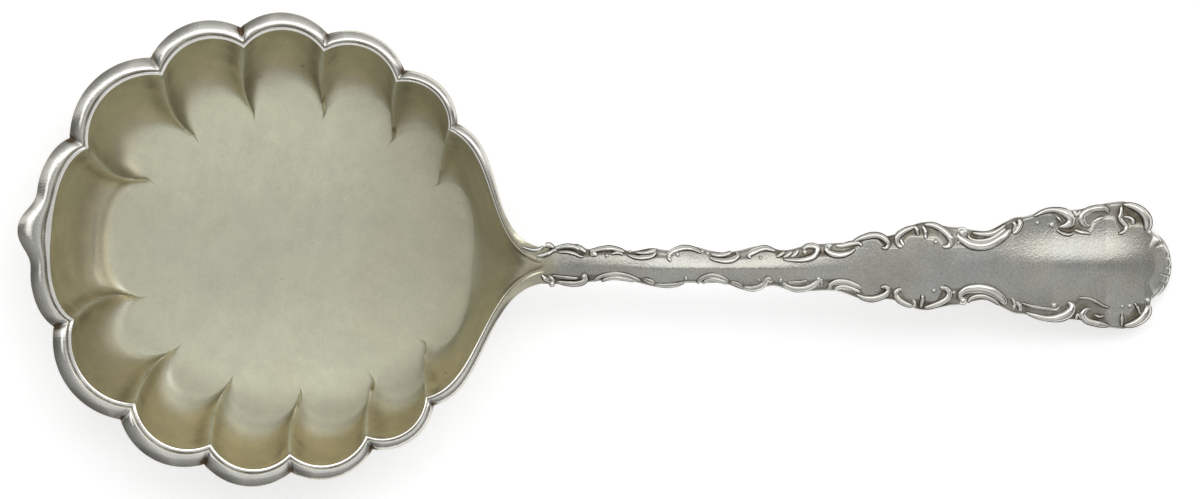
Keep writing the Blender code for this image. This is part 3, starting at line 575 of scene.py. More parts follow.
def softened(rows, times):
    """Rows softened up the wall: each becomes the mean of itself and its two neighbours; the ends stay."""
    rows = rows.copy()
    for _ in range(times):
        rows[1:-1] = rows[1:-1] / 2 + (rows[:-2] + rows[2:]) / 4
    return rows


def eased(rows, neck, times):
    """Rows of a wall softened towards the neck, both round the bowl and up the wall, less near both ends."""
    times_round, end_share = 160, 0.25
    soft = softened(rounded(rows, times_round), times)
    place = np.linspace(0, 1, len(rows))[:, None, None]
    held = s_curve(np.minimum(place, 1 - place) / end_share)
    return rows + (soft - rows) * held * s_curve(neck, 0.25, 0.5)[:, None]


def bowl_masks(bowl, lines, floor_plan, share, row_count):
    """Where each finish of the bowl lies, 0 to 1, for every row and column of its surface.

    gilt is the inside, worn thin along the ridges. gold deepens up the flutes and starts sooner on a ridge's
    shaded side, which paints shade there. hollow lays painted shade, in the tarnish colour, up the walls
    beside the ridges and in the neck's hollow. The flank mask is painted shade: the dark flank of each
    ridge, with the dim flute and the dark bands near the tip, the shaded feet of the lower flutes and the
    neck. The bright mask is painted highlight: the lit ridge ends, glints beside the ridges and a light band
    across the tip's flute. Each is a product of S-curves and bell curves of the height up the wall, the
    distance from a notch and the direction from the bowl's middle.
    """
    foot, neck, notch, shaded = (lines[name] for name in ("foot", "neck", "notch", "shaded"))
    around = np.arctan2(foot[:, 1], foot[:, 0])
    # The flutes towards -Y, less so near the tip
    lower = s_curve(-2.0 * np.sin(around) - 0.2) * (1 - 0.6 * s_curve(-np.cos(around), 0.3, 0.5))
    at_tip = np.abs(around) > math.radians(157)
    at_neck = 0.85 * s_curve(neck, 0.6, 0.35) * s_curve(share, 0.3, 0.65)

    # Deeper gold starts higher up the lower flutes, and sooner on a ridge's shaded side, where it paints
    # shade
    flank = bell(shaded / (1.9 * MM))
    gold_start = 0.08 * lower * (1 - flank)
    gold_reach = (0.26 + 0.3 * lower + 0.3 * neck) * (1 - 0.6 * flank)
    gold = s_curve(share, gold_start, gold_reach)

    # Painted shade in the tarnish colour: higher up the walls, beside the ridges and in the neck's hollow
    beside = bell((notch - 1.3 * MM) / (0.7 * MM))
    hollow = share * (0.14 + 0.4 * beside) + 0.5 * at_neck * s_curve(share, 0.6, 0.3)

    # Painted shade: the dark flanks are pointed at the floor, fade upwards and are lighter in the lower
    # flutes; with them the dim flute near the tip, the shaded feet of the lower flutes, the dark bands across
    # the tip's flute and the neck's hollow
    low = s_curve(share, -0.03, 0.05) * (1 - 0.8 * s_curve(share, 0.3, 0.6))
    pointed = bell(shaded / ((0.7 + 1.9 * s_curve(share / 0.4)) * MM))
    lighter = 1 - 0.85 * lower * s_curve(share, 0.15, 0.3)
    dim = 0.5 * bell((around + 2.5) / 0.4) * (1 - lower * np.clip(around + 2.2, 0, 1))
    dim_flute = s_curve(share, 0.1, 0.2) * dim
    foot_shade = 0.42 * lower * (1 - s_curve(share, 0.12, 0.22))
    bands = 0.42 * at_tip * (bell((share - 0.24) / 0.05) + 0.8 * bell((share - 0.6) / 0.13))
    painted_shade = np.max([low * pointed * lighter, dim_flute, foot_shade, bands, at_neck], axis=0)
    along_oval = (floor_plan[..., 0] - bowl.floor_shift) / bowl.floor_half_length
    past_oval = np.hypot(along_oval, floor_plan[..., 1] / bowl.floor_half_breadth)
    floor_painted_shade = foot_shade[0] * s_curve(past_oval, 0.95, 0.25)

    # Worn gilding along the ridges, then painted highlights: at the ridges' lit ends, glints beside the
    # ridges near the tip and a light band across the tip's flute
    worn = bell(notch / (0.32 * MM)) * s_curve(share, 0.3, 0.3)
    lit = (shaded > notch + 0.01 * MM) * bell((notch - 0.25 * MM) / (0.35 * MM))
    ridge_ends = lit * bell((share - 0.12) / 0.14)
    near_ridge = bell(notch / (3.2 * MM)) * ((shaded > notch) | at_tip)
    near_ridge = near_ridge * (0.12 + 0.88 * s_curve(-np.cos(around), 0.2, 0.4))
    glint = 0.75 * near_ridge * bell((share - 0.1) / 0.06)
    tip_band = at_tip * bell((share - 0.36) / 0.045)
    painted_highlight = np.max([0.8 * ridge_ends, glint, 0.25 * tip_band], axis=0)

    def whole(wall, floor=0.0):
        mask = np.zeros((row_count, len(foot)))
        mask[:FLOOR_ROWS] = floor
        mask[FLOOR_ROWS : FLOOR_ROWS + WALL_ROWS] = wall
        return mask

    return {
        "gilt": whole(1 - 0.8 * worn, 1.0),
        "hollow": whole(hollow),
        "gold": whole(gold),
        "painted_shade": whole(painted_shade, floor_painted_shade),
        "painted_highlight": whole(painted_highlight),
    }


def bowl_surface(bowl, rim, handle):
    """Rows of points from the floor's middle up the wall, over the flange and down the outside to the foot.

    The floor is a shallow dish. A wall point lies on the straight plan line from the foot line to the rim,
    shifted by the ridges' bow, at the height that wall_rise gives, and pinched up where a ridge ends. The
    outside follows the wall at the shell's thickness, and its flutes fade towards the foot. Gives the rows
    and the masks of bowl_masks.
    """
    lines = edge_lines(bowl, rim, handle)
    foot, inner, outer, neck, notch = (lines[name] for name in ("foot", "inner", "outer", "neck", "notch"))
    run = inner - foot
    first_ring = 0.03

    def floor_level(plan):
        distance = np.linalg.norm(plan, axis=-1)
        return bowl.floor_height + bowl.floor_dish * (distance / bowl.floor_half_length) ** 2

    def wall_plan(share):
        plan = foot + run * share[..., None]
        angle = np.arctan2(plan[..., 1], plan[..., 0])
        turn = np.abs(angle)
        amount = bowl.ridge_bow + bowl.tip_bow * np.clip((turn - 0.7) / 2.0, 0, 1) ** 1.5
        amount = amount * s_curve((np.pi - turn) / 0.4) * s_curve(turn / 0.6)
        amount = amount * (4 * share * (1 - share))
        plan[..., 0] -= amount * np.abs(np.sin(angle))
        plan[..., 1] += amount * np.sign(angle) * np.cos(angle)
        return plan

    floor_plan = foot * np.linspace(first_ring, 1, FLOOR_ROWS, endpoint=False)[:, None, None]
    floor = with_height(floor_plan, floor_level(floor_plan))
    share = np.linspace(0, 1, WALL_ROWS)[:, None]
    base = floor_level(foot)
    straight = 0.13 + 0.24 * bell(notch / (1.3 * MM))
    rise = wall_rise(bowl, handle, share, neck, straight)
    wall = with_height(wall_plan(share), base + (bowl.seat_height - base) * rise)
    keep = np.clip((1 - share) / 0.06, 0, 1)[..., None]
    wall = wall + (rounded(wall, 3) - wall) * keep
    wall[..., 2] += bowl.pinch * (bell((share - 0.1) / 0.1) * bell(notch / (0.28 * MM)))
    wall = eased(wall, neck, 60)
    wall[..., 2] -= neck_sink(neck) * s_curve(share, 0.8, 0.2)
    level = np.concatenate([floor, wall])[..., 2]
    at_foot = bell((np.arange(len(level)) - FLOOR_ROWS) / 13.0)[:, None]
    level = level + (softened(level, 70) - level) * at_foot * s_curve(neck, 0.12, 0.4)
    floor[..., 2], wall[..., 2] = level[:FLOOR_ROWS], level[FLOOR_ROWS:]

    across = np.linalg.norm(outer - inner, axis=1)
    inset = 0.15 * MM
    flange = inner + (outer - inner) * (1 - inset / np.maximum(across, inset))[:, None]
    flange_top = bowl.seat_height - neck_sink(neck)
    flange_rows = [with_height(flange, flange_top), with_height(flange, flange_top - bowl.flange)]
    out_share = np.linspace(1, 0, OUTSIDE_ROWS)[:, None]
    backing = np.minimum(bowl.wall, 0.9 * across) * (1 - neck)
    outward = run / np.linalg.norm(run, axis=1)[:, None]
    out_plan = wall_plan(out_share) + outward * backing[:, None] * s_curve(2 * out_share)[..., None]
    out_level = (bowl.seat_height - bowl.flange) * wall_rise(bowl, handle, out_share, neck)
    outside = rounded(with_height(out_plan, out_level), 4)
    lower = s_curve((1 - out_share) / 0.35)[..., None]
    outside = eased(outside + (rounded(outside, 60) - outside) * lower, neck, 25)
    outside[..., 2] -= neck_sink(neck) * s_curve(out_share, 0.8, 0.2)
    foot_share = np.linspace(1, first_ring, FOOT_ROWS + 1)[1:, None, None]
    under = with_height(outside[-1:, :, :2] * foot_share, np.zeros((FOOT_ROWS, len(foot))))
    rows = np.concatenate([floor, wall, np.array(flange_rows), outside, under])
    return rows, bowl_masks(bowl, lines, floor_plan, share, len(rows))


def rim_surface(bowl, rim, handle):
    """Sections of the rim wire: a small lip inside, a groove, then a broad roll that falls outwards.

    The height across the wire is a lip (a narrow bump at its inner edge), a bed and a lopsided half round,
    less a fold at each notch. Gives the rows and the masks of the darkening (painted shade in the folds and
    along the groove, brown dirt at the notches), of the gilding towards the neck and of the painted
    highlight on the lip.
    """
    lines = edge_lines(bowl, rim, handle)
    keep = lines["neck"] < 1
    keep[-(bowl.lobe_columns // 2)] = True
    inner, outer, neck, notch = (lines[name][keep] for name in ("inner", "outer", "neck", "notch"))
    lip_points = (0.0, 0.0, 0.008, 0.02, 0.14, 0.152, 0.16, 0.17, 0.19)
    across = np.concatenate([lip_points, np.linspace(0.215, 1.0, 28), [1.0]])[:, None]
    lip_end, bed_end, crest, bed = 0.162, 0.175, 0.295, 0.42
    lip = np.where(across < lip_end, 0.55 + 0.36 * across - 1.5 * np.maximum(across - 0.145, 0), 0.0)
    inside = bed + (1 - bed) * s_curve(across, bed_end, crest - bed_end)
    outside = 1 - 0.5 * np.clip((across - crest) / (1 - crest), 0, 1) ** 2
    profile = np.where(across < bed_end, np.maximum(lip, bed), np.minimum(inside, outside))
    profile[[0, -1]] = -0.06
    height = rim.height + (rim.neck_height - rim.height) * s_curve(neck)
    index, end_columns = np.arange(len(neck)), 34
    ends = s_curve(np.minimum(index, index[::-1]) / end_columns)
    height = height * (0.05 + 0.95 * ends) * (1 - 0.3 * np.exp(-notch / (1.3 * MM)))
    fold_width = (0.07 + 0.08 * across) * MM
    fold = np.exp(-np.abs(notch / fold_width)) * s_curve(across, 0.2, 0.5)
    level = bowl.seat_height + profile * height - rim.crease * fold * (profile > 0)
    rows = with_height(inner + (outer - inner) * across[..., None], level - neck_sink(neck))
    # Painted shade along the groove beside the lip and in the folds at the notches, brown dirt at the
    # notches' outer corners, and a painted highlight on the lip
    groove = 0.7 * bell((across - 0.21) / 0.045) * (1 - neck)
    dirt = 1.7 * bell(notch / (0.6 * MM)) * s_curve(across, 0.45, 0.35)
    gilt = np.maximum(s_curve(neck, 0.2, 0.6), 0.4 * s_curve(across, 0.65, 0.3))
    painted_highlight = (across < lip_end) * (1 - s_curve(neck, 0.3, 0.5))
    masks = {"fold": 0.7 * fold + groove + dirt, "gilt": gilt, "painted_highlight": painted_highlight}
    return rows.transpose(1, 0, 2), {name: mask.T for name, mask in masks.items()}


def outline_width(x, outline, handle):
    """Half width along the handle: S-curves between the outline's points, then the end lobe's ellipse."""
    places, widths = np.array(outline).T * MM
    lobe_start = handle.length - handle.lobe_depth
    places = np.append(places, lobe_start)
    widths = np.append(widths, handle.lobe_half_width)
    held = np.clip(x, places[0], places[-1])
    index = np.clip(np.searchsorted(places, held) - 1, 0, len(places) - 2)
    local = (held - places[index]) / (places[index + 1] - places[index])
    width = widths[index] + (widths[index + 1] - widths[index]) * s_curve(local)
    reach = np.clip((x - lobe_start) / handle.lobe_depth, 0, 1)
    return width * np.sqrt(1 - reach**2)


def handle_share(x, handle):
    """Distance along the handle from the end of the tongue, as a share."""
    return (x - handle.tongue) / (handle.length - handle.tongue)


def underside_level(x, bowl, handle):
    """Height of the underside on the axis: a parabola's arch over the line from the neck to the table."""
    share = handle_share(x, handle)
    start = bowl.seat_height - handle.neck_thickness
    return start * (1 - share) + handle.arch * 4 * share * (1 - share)


def field_level(x, y, bowl, handle):
    """Height of the plain field: thickness over the underside, less its fall away from the crest.

    The fall is a bell curve's, so near the crest a parabola, and in the stem also a hyperbola, which gives it
    two sloping faces and a soft keel. Over the tongue the field starts level, by an S-curve.
    """
    share = handle_share(x, handle)
    thickness = handle.neck_thickness + (handle.end_thickness - handle.neck_thickness) * share
    along = x / MM
    bend, keel = np.interp(along, *FIELD_BEND), np.interp(along, *FIELD_KEEL)
    away = y + np.interp(along, *FIELD_SHIFT) * MM
    spread = np.interp(along, *FIELD_SPREAD) * MM
    ease = 0.15 * MM
    fall = bend * spread**2 * (1 - bell(away / spread)) + keel * (np.sqrt(away**2 + ease**2) - ease)
    level = underside_level(x, bowl, handle) + thickness
    flat = bowl.seat_height - 0.1 * MM
    return flat + (level - flat) * s_curve(along, 0.4, 3.2) - fall


def stroke_paths(handle, steps=56):
    """Every stroke: its side, its half widths, rounded off at both ends, and a smooth plan line."""
    share = np.linspace(0, 1, steps)
    for side, strokes in ((1, LEFT_STROKES), (-1, RIGHT_STROKES)):
        for half_widths, points in strokes:
            line = curve_through(np.array(points) * MM, steps)
            line[:, 1] *= side
            width = np.interp(share, np.linspace(0, 1, len(half_widths)), half_widths)
            yield side, width * np.sqrt(1 - 0.97 * np.abs(2 * share - 1) ** 8) * handle.boldness * MM, line


def sideways_of(line):
    """Unit directions across a plan line: its steps turned by a quarter."""
    along = np.gradient(line, axis=0)
    return np.column_stack([along[:, 1], -along[:, 0]]) / np.linalg.norm(along, axis=1)[:, None]


def stroke_density(handle):
    """How thick the strokes lie over the plan: bands drawn on a fine grid and blurred by a bell curve."""
    step, margin, half_breadth, blur_width = 0.06 * MM, 1.5 * MM, 8.0 * MM, 0.7 * MM
    band_points, blur_steps = 17, 28
    low = np.array([-margin, -half_breadth])
    drawn = np.zeros((int((handle.length + 2 * margin) / step), int(2 * half_breadth / step)))
    for _, width, line in stroke_paths(handle, 200):
        offset = width[:, None] * np.linspace(-1, 1, band_points)
        points = line[:, None] + sideways_of(line)[:, None] * offset[..., None]
        index = np.rint((points - low) / step).astype(int)
        drawn[index[..., 0], index[..., 1]] = 1.0
    blur = bell(np.arange(-blur_steps, blur_steps + 1) * step / blur_width)
    for axis in (0, 1):
        drawn = np.apply_along_axis(np.convolve, axis, drawn, blur / blur.sum(), "same")

    def density(plan):
        index = np.clip(np.rint((plan - low) / step).astype(int), 0, np.array(drawn.shape) - 1)
        return drawn[index[..., 0], index[..., 1]]

    return density


def border_line(side, handle):
    """Inner edge of a border along the handle: the strokes' points nearest the axis.

    Short gaps are bridged by a running least value and then a running greatest one, and a bell curve smooths
    the line.
    """
    step = 0.05 * MM
    places = np.arange(0.0, handle.length, step)
    edge = outline_width(places, LEFT_OUTLINE if side > 0 else RIGHT_OUTLINE, handle)
    for at, width, line in stroke_paths(handle, 160):
        if at == side:
            index = np.clip(np.rint(line[:, 0] / step).astype(int), 0, len(places) - 1)
            np.minimum.at(edge, index, np.abs(line[:, 1]) - width)
    bridge, blur_steps, blur_width = 16, 20, 0.4 * MM
    for settle in (np.min, np.max):
        padded = np.pad(edge, bridge, mode="edge")
        edge = settle(np.lib.stride_tricks.sliding_window_view(padded, 2 * bridge + 1), axis=1)
    blur = bell(np.arange(-blur_steps, blur_steps + 1) * step / blur_width)
    return places, np.convolve(np.pad(edge, blur_steps, mode="edge"), blur / blur.sum(), "valid")


def border_lines(handle):
    """The inner edges of both borders, by side."""
    return {side: border_line(side, handle) for side in (1, -1)}


def ground_mask(x, y, borders):
    """How far plan points lie in a border's ground: an S-curve over the border's inner edge."""
    inner = np.where(y >= 0, np.interp(x, *borders[1]), np.interp(x, *borders[-1]))
    return s_curve((np.abs(y) - inner + 0.1 * MM) / (0.4 * MM))


def handle_surface(bowl, handle):
    """Closed sections along the handle: the domed field, a rounded edge and the underside.

    The upper face is the field, sunk a little in the borders. The edge is a quarter round. The underside is
    flat and lifts to the edge, and near the neck it hangs as a half ellipse. Gives the rows and the masks of
    the tarnish and painted shade among the strokes, darkest where they crowd, and of the gilding at the neck.
    """
    start, edge_width, edge_drop = 0.4 * MM, 0.4 * MM, 0.35 * MM
    body_rows, lobe_rows, top_points, under_points = 690, 30, 111, 21
    body = np.linspace(start, handle.length - handle.lobe_depth, body_rows)
    lobe = handle.length - handle.lobe_depth * (1 - np.sin(np.linspace(0, math.radians(88), lobe_rows)[1:]))
    x = np.concatenate([body, lobe])[:, None]
    top = np.linspace(1, -1, top_points)
    across = np.concatenate([np.sign(top) * np.abs(top) ** 0.85, np.linspace(-1, 1, under_points)[1:-1]])
    is_top = np.arange(len(across)) < len(top)
    left, right = (outline_width(x, outline, handle) for outline in (LEFT_OUTLINE, RIGHT_OUTLINE))
    width = np.where(across >= 0, left, right)
    y = across * width
    plan = np.stack(np.broadcast_arrays(x, y), axis=2)
    low = underside_level(x, bowl, handle)
    tongue = bowl.seat_height - 0.7 * MM
    hung = tongue - (tongue - low) * np.sqrt(1 - across**2)
    under = low + handle.edge * np.abs(across) ** 5
    under = hung + (under - hung) * s_curve(x, start, 4.0 * MM)
    edge = np.clip((np.abs(across) * width - width + edge_width) / edge_width, 0, 1)
    upper = field_level(x, y, bowl, handle) - edge_drop * (1 - np.sqrt(1 - edge**2))
    sunk = ground_mask(x, y, border_lines(handle)) * is_top
    lap = 0.2 * MM * (1 - s_curve(x, start, 1.5 * MM))
    upper = upper - lap - handle.recess * sunk
    # Tarnish and painted shade among the strokes: darkest where they crowd and in the border's sunk ground
    crowded = s_curve(stroke_density(handle)(plan), 0.08, 0.25)
    gilt = is_top * (1 - s_curve(x + 0.8 * np.abs(y), 1.7 * MM, 3.4 * MM))
    masks = {"recess": crowded * (0.15 + 0.85 * sunk) * is_top, "gilt": gilt}
    return with_height(plan, np.where(is_top, upper, under)), masks


def heel_surface(bowl, rim, handle):
    """The heel: half-ellipse sections hung under the bowl's back, from under the handle to a rounded nose.

    Their lower line carries the handle's underside on, and their upper edges lie a little inside the nearest
    points of the bowl's back. Depth and half width both fall off as an ellipse, so that the back takes in the
    nose.
    """
    column = -(bowl.lobe_columns // 4)
    outside = bowl_surface(bowl, rim, handle)[0][-(OUTSIDE_ROWS + FOOT_ROWS) : -FOOT_ROWS]
    outside = placed(outside, bowl, handle, False)
    outside[..., :2] -= handle_origin(bowl, handle)
    back = outside[np.argsort(outside[:, column, 0]), column]
    near = outside[(np.abs(outside[..., 0]) < 5 * MM) & (np.abs(outside[..., 1]) < 3 * MM)]
    start, bend, nose, half_width = 6.0 * MM, 0.4 * MM, 3.2 * MM, 1.75 * MM
    x = np.concatenate([np.linspace(start, bend, 20)[:-1], bend - nose * np.sin(np.linspace(0, 1.56, 40))])
    middle, back_level = (np.interp(x, back[:, 0], back[:, axis])[:, None] for axis in (1, 2))
    x = x[:, None]
    fading = np.sqrt(1 - np.clip((bend - x) / nose, 0, 1) ** 2)
    inner = back_level + 0.35 * MM
    low = inner - (inner - underside_level(x, bowl, handle)) * fading
    low = low + 0.08 * MM * s_curve(x, 0.2 * MM, 2.5 * MM)
    angle = np.linspace(0, math.pi, 17)
    out = np.concatenate([np.cos(angle), [-0.5, 0.5]])
    y = middle * s_curve((bend - x) / (2.0 * MM)) + half_width * fading * out
    plan = np.stack(np.broadcast_arrays(x, y), axis=2)
    ends = plan[:, [0, len(angle) - 1], None]
    nearest = np.linalg.norm(near[:, :2] - ends, axis=3).argmin(axis=2)
    sides = np.maximum(near[nearest, 2] + 0.3 * MM, inner)
    top = sides[:, :1] + (sides[:, 1:] - sides[:, :1]) * (1 - np.cos(angle)) / 2
    hung = top - (top - low) * np.sin(angle)
    return with_height(plan, np.concatenate([hung, inner, inner], axis=1))


def stroke_surface(line, half_widths, relief, ground):
    """A stroke: a slightly flattened half round along a plan line, with a narrow skirt on each side.

    A profile point's height is the ground's at its own place plus its part of the superellipse. Gives the
    rows and a mask of darkening: painted shade at the stroke's foot and flanks, and light tarnish over it
    all.
    """
    skirt, root = 0.09 * MM, 0.45 * MM
    turn = np.cos(np.linspace(0, math.pi, 15))
    out = np.concatenate([[1.0], turn, [-1.0, -0.9, 0.9]])
    extra = np.concatenate([[skirt], np.zeros(len(turn)), [-skirt, 0.0, 0.0]])
    lift = np.concatenate([[0.0], np.sqrt(1 - np.abs(turn) ** 2.2), [0.0, 0.0, 0.0]])
    drop = np.concatenate([np.full(len(turn) + 2, 0.02 * MM), [-root, -root]])
    half_widths = half_widths[:, None]
    offset = half_widths * out + extra
    plan = line[:, None] + sideways_of(line)[:, None] * offset[..., None]
    level = ground(plan[..., 0], plan[..., 1]) + relief * half_widths * lift + drop
    # Painted shade at the stroke's foot and flanks, with light tarnish over the whole stroke
    foot = 0.25 + 0.75 * np.clip(1 - 2.2 * lift, 0, 1)
    return with_height(plan, level), np.broadcast_to(foot, offset.shape)


def dome(centre, radius, root):
    """A bead: circles of latitude of a half sphere with a narrow skirt, closed by a point at its top.

    Gives the rows and a mask of painted shade at its foot.
    """
    polar = np.radians([90, 90, 90, 72, 54, 36, 18, 4])
    # Painted shade round the bead's foot
    foot = np.array([0.6, 0.6, 0.5, 0.1, 0.0, 0.0, 0.0, 0.0])
    turn = np.linspace(0, 2 * math.pi, 16, endpoint=False)
    lift = radius * np.cos(polar)
    lift[:2] = -root, 0.02 * MM
    reach = radius * np.sin(polar)
    reach[1] += 0.06 * MM
    plan = reach[:, None, None] * np.stack([np.cos(turn), np.sin(turn)], axis=1)
    level, foot = (np.broadcast_to(values[:, None], plan.shape[:2]) for values in (lift, foot))
    return with_height(plan, level) + centre, foot


def shell_surface(bowl, handle):
    """The shell at the handle's end: a disc whose front swells over the field and is cut by short grooves.

    The swell is an S-curve of the distance from its middle. The grooves follow a sine round the edge with
    uneven steps. The rear half lies under the field, and the lower face follows the underside. Gives the rows
    and the masks of the grooves, darkened with tarnish and painted shade, and of the painted highlight on
    the front edge.
    """
    angle = np.linspace(0, 2 * math.pi, 360, endpoint=False)
    reach, swell_height, groove_depth, edge_drop, sunk = np.array([4.1, 0.17, 0.16, 0.35, 0.25]) * MM
    middle = np.array([handle.length - reach, 0.0])
    share = np.concatenate([np.linspace(0.04, 0.9, 24), [0.93, 0.96, 0.98, 0.99, 1.0]])[:, None]
    front = s_curve(np.cos(angle), 0.35, 0.4)
    fluted = s_curve(np.cos(angle), 0.62, 0.16)
    wave = np.abs(np.sin(9 * angle + 0.9 * np.sin(2 * angle) + 0.7 * np.sin(5 * angle + 1.0)))
    edge = reach * (1 - 0.01 * fluted * (1 - wave))
    plan = middle + edge[:, None] * np.stack([np.cos(angle), np.sin(angle)], axis=1) * share[..., None]
    groove_start = 0.80 + 0.08 * np.sin(7 * angle + 0.5)
    groove = fluted * s_curve(share, groove_start, 0.16) * (1 - wave) ** 3
    bright = front * s_curve(share, 0.82, 0.12)
    swell = swell_height * s_curve(share, 0.42, 0.55)
    fall = edge_drop * (1 - np.sqrt(1 - np.clip((share - 0.9) / 0.1, 0, 1) ** 2))
    top = field_level(plan[..., 0], plan[..., 1], bowl, handle) - groove_depth * groove
    top = top + front * (swell - 0.03 * MM) - (1 - front) * sunk - fall
    low = underside_level(plan[..., 0], bowl, handle) + 0.05 * MM + 0.1 * MM * share**4
    rows = np.concatenate([with_height(plan, low), with_height(plan, top)[::-1]])
    # The grooves are darkened with tarnish and painted shade, and the front edge gets a painted highlight
    masks = {"recess": groove, "painted_highlight": bright}
    return rows, {name: np.concatenate([np.zeros(mask.shape), mask[::-1]]) for name, mask in masks.items()}


class Weave:
    """Gathers grids of points into one mesh."""

    def __init__(self):
        self.points = []
        self.faces = []
        self.masks = {}
        self.count = 0

    def add(self, rows, masks):
        """Adds closed rings of points, one row each, with a point in the middle of each closed end."""
        length, around = rows.shape[:2]
        index = np.arange(length * around).reshape(length, around) + self.count
        after = np.roll(index, -1, axis=1)
        self.faces += np.stack([index[:-1], after[:-1], after[1:], index[1:]], axis=2).reshape(-1, 4).tolist()
        first, last = self.count + length * around, self.count + length * around + 1
        self.faces += np.stack([after[0], index[0], np.full(around, first)], axis=1).tolist()
        self.faces += np.stack([index[-1], after[-1], np.full(around, last)], axis=1).tolist()
        self.points += [rows.reshape(-1, 3), rows[[0, -1]].mean(axis=1)]
        for name, mask in masks.items():
            self.masks.setdefault(name, []).extend([np.ravel(mask), mask[[0, -1]].mean(axis=1)])
        self.count = last + 1

    def build(self, name, finish, slot, sharp=None):
        """Makes the object, smooth shaded, with its masks as attributes, and puts it on the part."""
        mesh = bpy.data.meshes.new(name)
        mesh.from_pydata(np.concatenate(self.points).tolist(), [], self.faces)
        mesh.validate()
        for mask, values in self.masks.items():
            layer = mesh.attributes.new(mask, "FLOAT", "POINT")
            layer.data.foreach_set("value", np.concatenate(values).astype(np.float32))
        mesh.shade_smooth()
        if sharp:
            mesh.set_sharp_from_angle(angle=math.radians(sharp))
        mesh.materials.append(finish)
        made = bpy.data.objects.new(name, mesh)
        bpy.context.scene.collection.objects.link(made)
        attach(made, "root")
        return made


def woven(rows, masks):
    """A weave of one grid."""
    weave = Weave()
    weave.add(rows, masks)
    return weave


class Nodes:
    """Adds nodes to a shader tree; a value that feeds one is a number, a colour or another node's socket."""

    def __init__(self, tree):
        self.tree = tree

    def feed(self, socket, value):
        """Links a socket to another one, or sets its own value."""
        if isinstance(value, bpy.types.NodeSocket):
            self.tree.links.new(value, socket)
        else:
            socket.default_value = (*value, 1.0) if isinstance(value, Color) else value

    def add(self, kind, values, **settings):
        """A node of a kind with its settings, its inputs fed by name or number."""
        node = self.tree.nodes.new("ShaderNode" + kind)
        for name, setting in settings.items():
            setattr(node, name, setting)
        for label, value in values.items():
            self.feed(node.inputs[label], value)
        return node

    def math(self, operation, *values, clamp=False):
        """One sum, product or the like."""
        return self.add("Math", dict(enumerate(values)), operation=operation, use_clamp=clamp).outputs[0]

    def mix(self, share, first, second):
        """A colour between two others."""
        node = self.add("Mix", {"Factor": share}, data_type="RGBA")
        for socket, value in zip((s for s in node.inputs if s.type == "RGBA"), (first, second)):
            self.feed(socket, value)
        return next(s for s in node.outputs if s.type == "RGBA")

    def spread(self, value, low, high, most=1.0):
        """0 at one value, rising evenly to its most at another."""
        values = {"Value": value, "From Min": low, "From Max": high, "To Max": most}
        return self.add("MapRange", values).outputs["Result"]

    def place(self):
        """The object's own coordinates."""
        return self.add("TexCoord", {}).outputs["Object"]

    def noise(self, place, scale, detail, roughness):
        """A noise texture's value at a place."""
        values = {"Vector": place, "Scale": scale, "Detail": detail, "Roughness": roughness}
        return self.add("TexNoise", values).outputs["Fac"]

    def mask(self, name):
        """A mask stored on the mesh."""
        return self.add("Attribute", {}, attribute_name=name).outputs["Fac"]


def emptied(owner):
    """The node tree of a material or world, without nodes."""
    owner.use_nodes = True
    owner.node_tree.nodes.clear()
    return Nodes(owner.node_tree)


def new_group(name, inputs, outputs):
    """An empty shader group with its sockets, its start's outputs and its end's inputs."""
    group = bpy.data.node_groups.new(name, "ShaderNodeTree")
    for label, value in inputs.items():
        kind = "NodeSocketColor" if isinstance(value, tuple) else "NodeSocketFloat"
        group.interface.new_socket(label, in_out="INPUT", socket_type=kind).default_value = value
    for label in outputs:
        kind = "NodeSocketColor" if label == "Colour" else "NodeSocketFloat"
        group.interface.new_socket(label, in_out="OUTPUT", socket_type=kind)
    start, end = group.nodes.new("NodeGroupInput"), group.nodes.new("NodeGroupOutput")
    return group, start.outputs, end.inputs


def wear_group():
    """Fine wear of old silver: grain, hairline scratches in two directions, and an uneven tone."""
    inputs, outputs = {"Grain": 1.0, "Scratches": 1.0}, ("Height", "Dullness", "Tone")
    group, given, result = new_group("fine_wear", inputs, outputs)
    nodes = Nodes(group)
    place = nodes.place()
    hairlines = []
    for scale, turn in (((260.0, 5200.0, 900.0), 0.35), ((5200.0, 300.0, 900.0), 0.6)):
        drawn_out = nodes.add("Mapping", {"Vector": place, "Scale": scale, "Rotation": (0.0, 0.0, turn)})
        hairlines.append(nodes.noise(drawn_out.outputs["Vector"], 1.0, 2.0, 0.6))
    streak = nodes.math("MULTIPLY", nodes.math("ADD", *hairlines), given["Scratches"])
    grain = nodes.math("SUBTRACT", nodes.noise(place, 4600.0, 1.5, 0.6), 0.5)
    speckle = nodes.math("MULTIPLY", grain, given["Grain"])
    patches = nodes.math("SUBTRACT", nodes.noise(place, 420.0, 4.0, 0.6), 0.5)
    mottled = nodes.math("MULTIPLY_ADD", patches, 0.34, 1.0)
    nodes.feed(result["Height"], nodes.math("ADD", streak, speckle))
    nodes.feed(result["Dullness"], patches)
    nodes.feed(result["Tone"], nodes.math("MULTIPLY_ADD", speckle, 0.3, mottled))
    return group


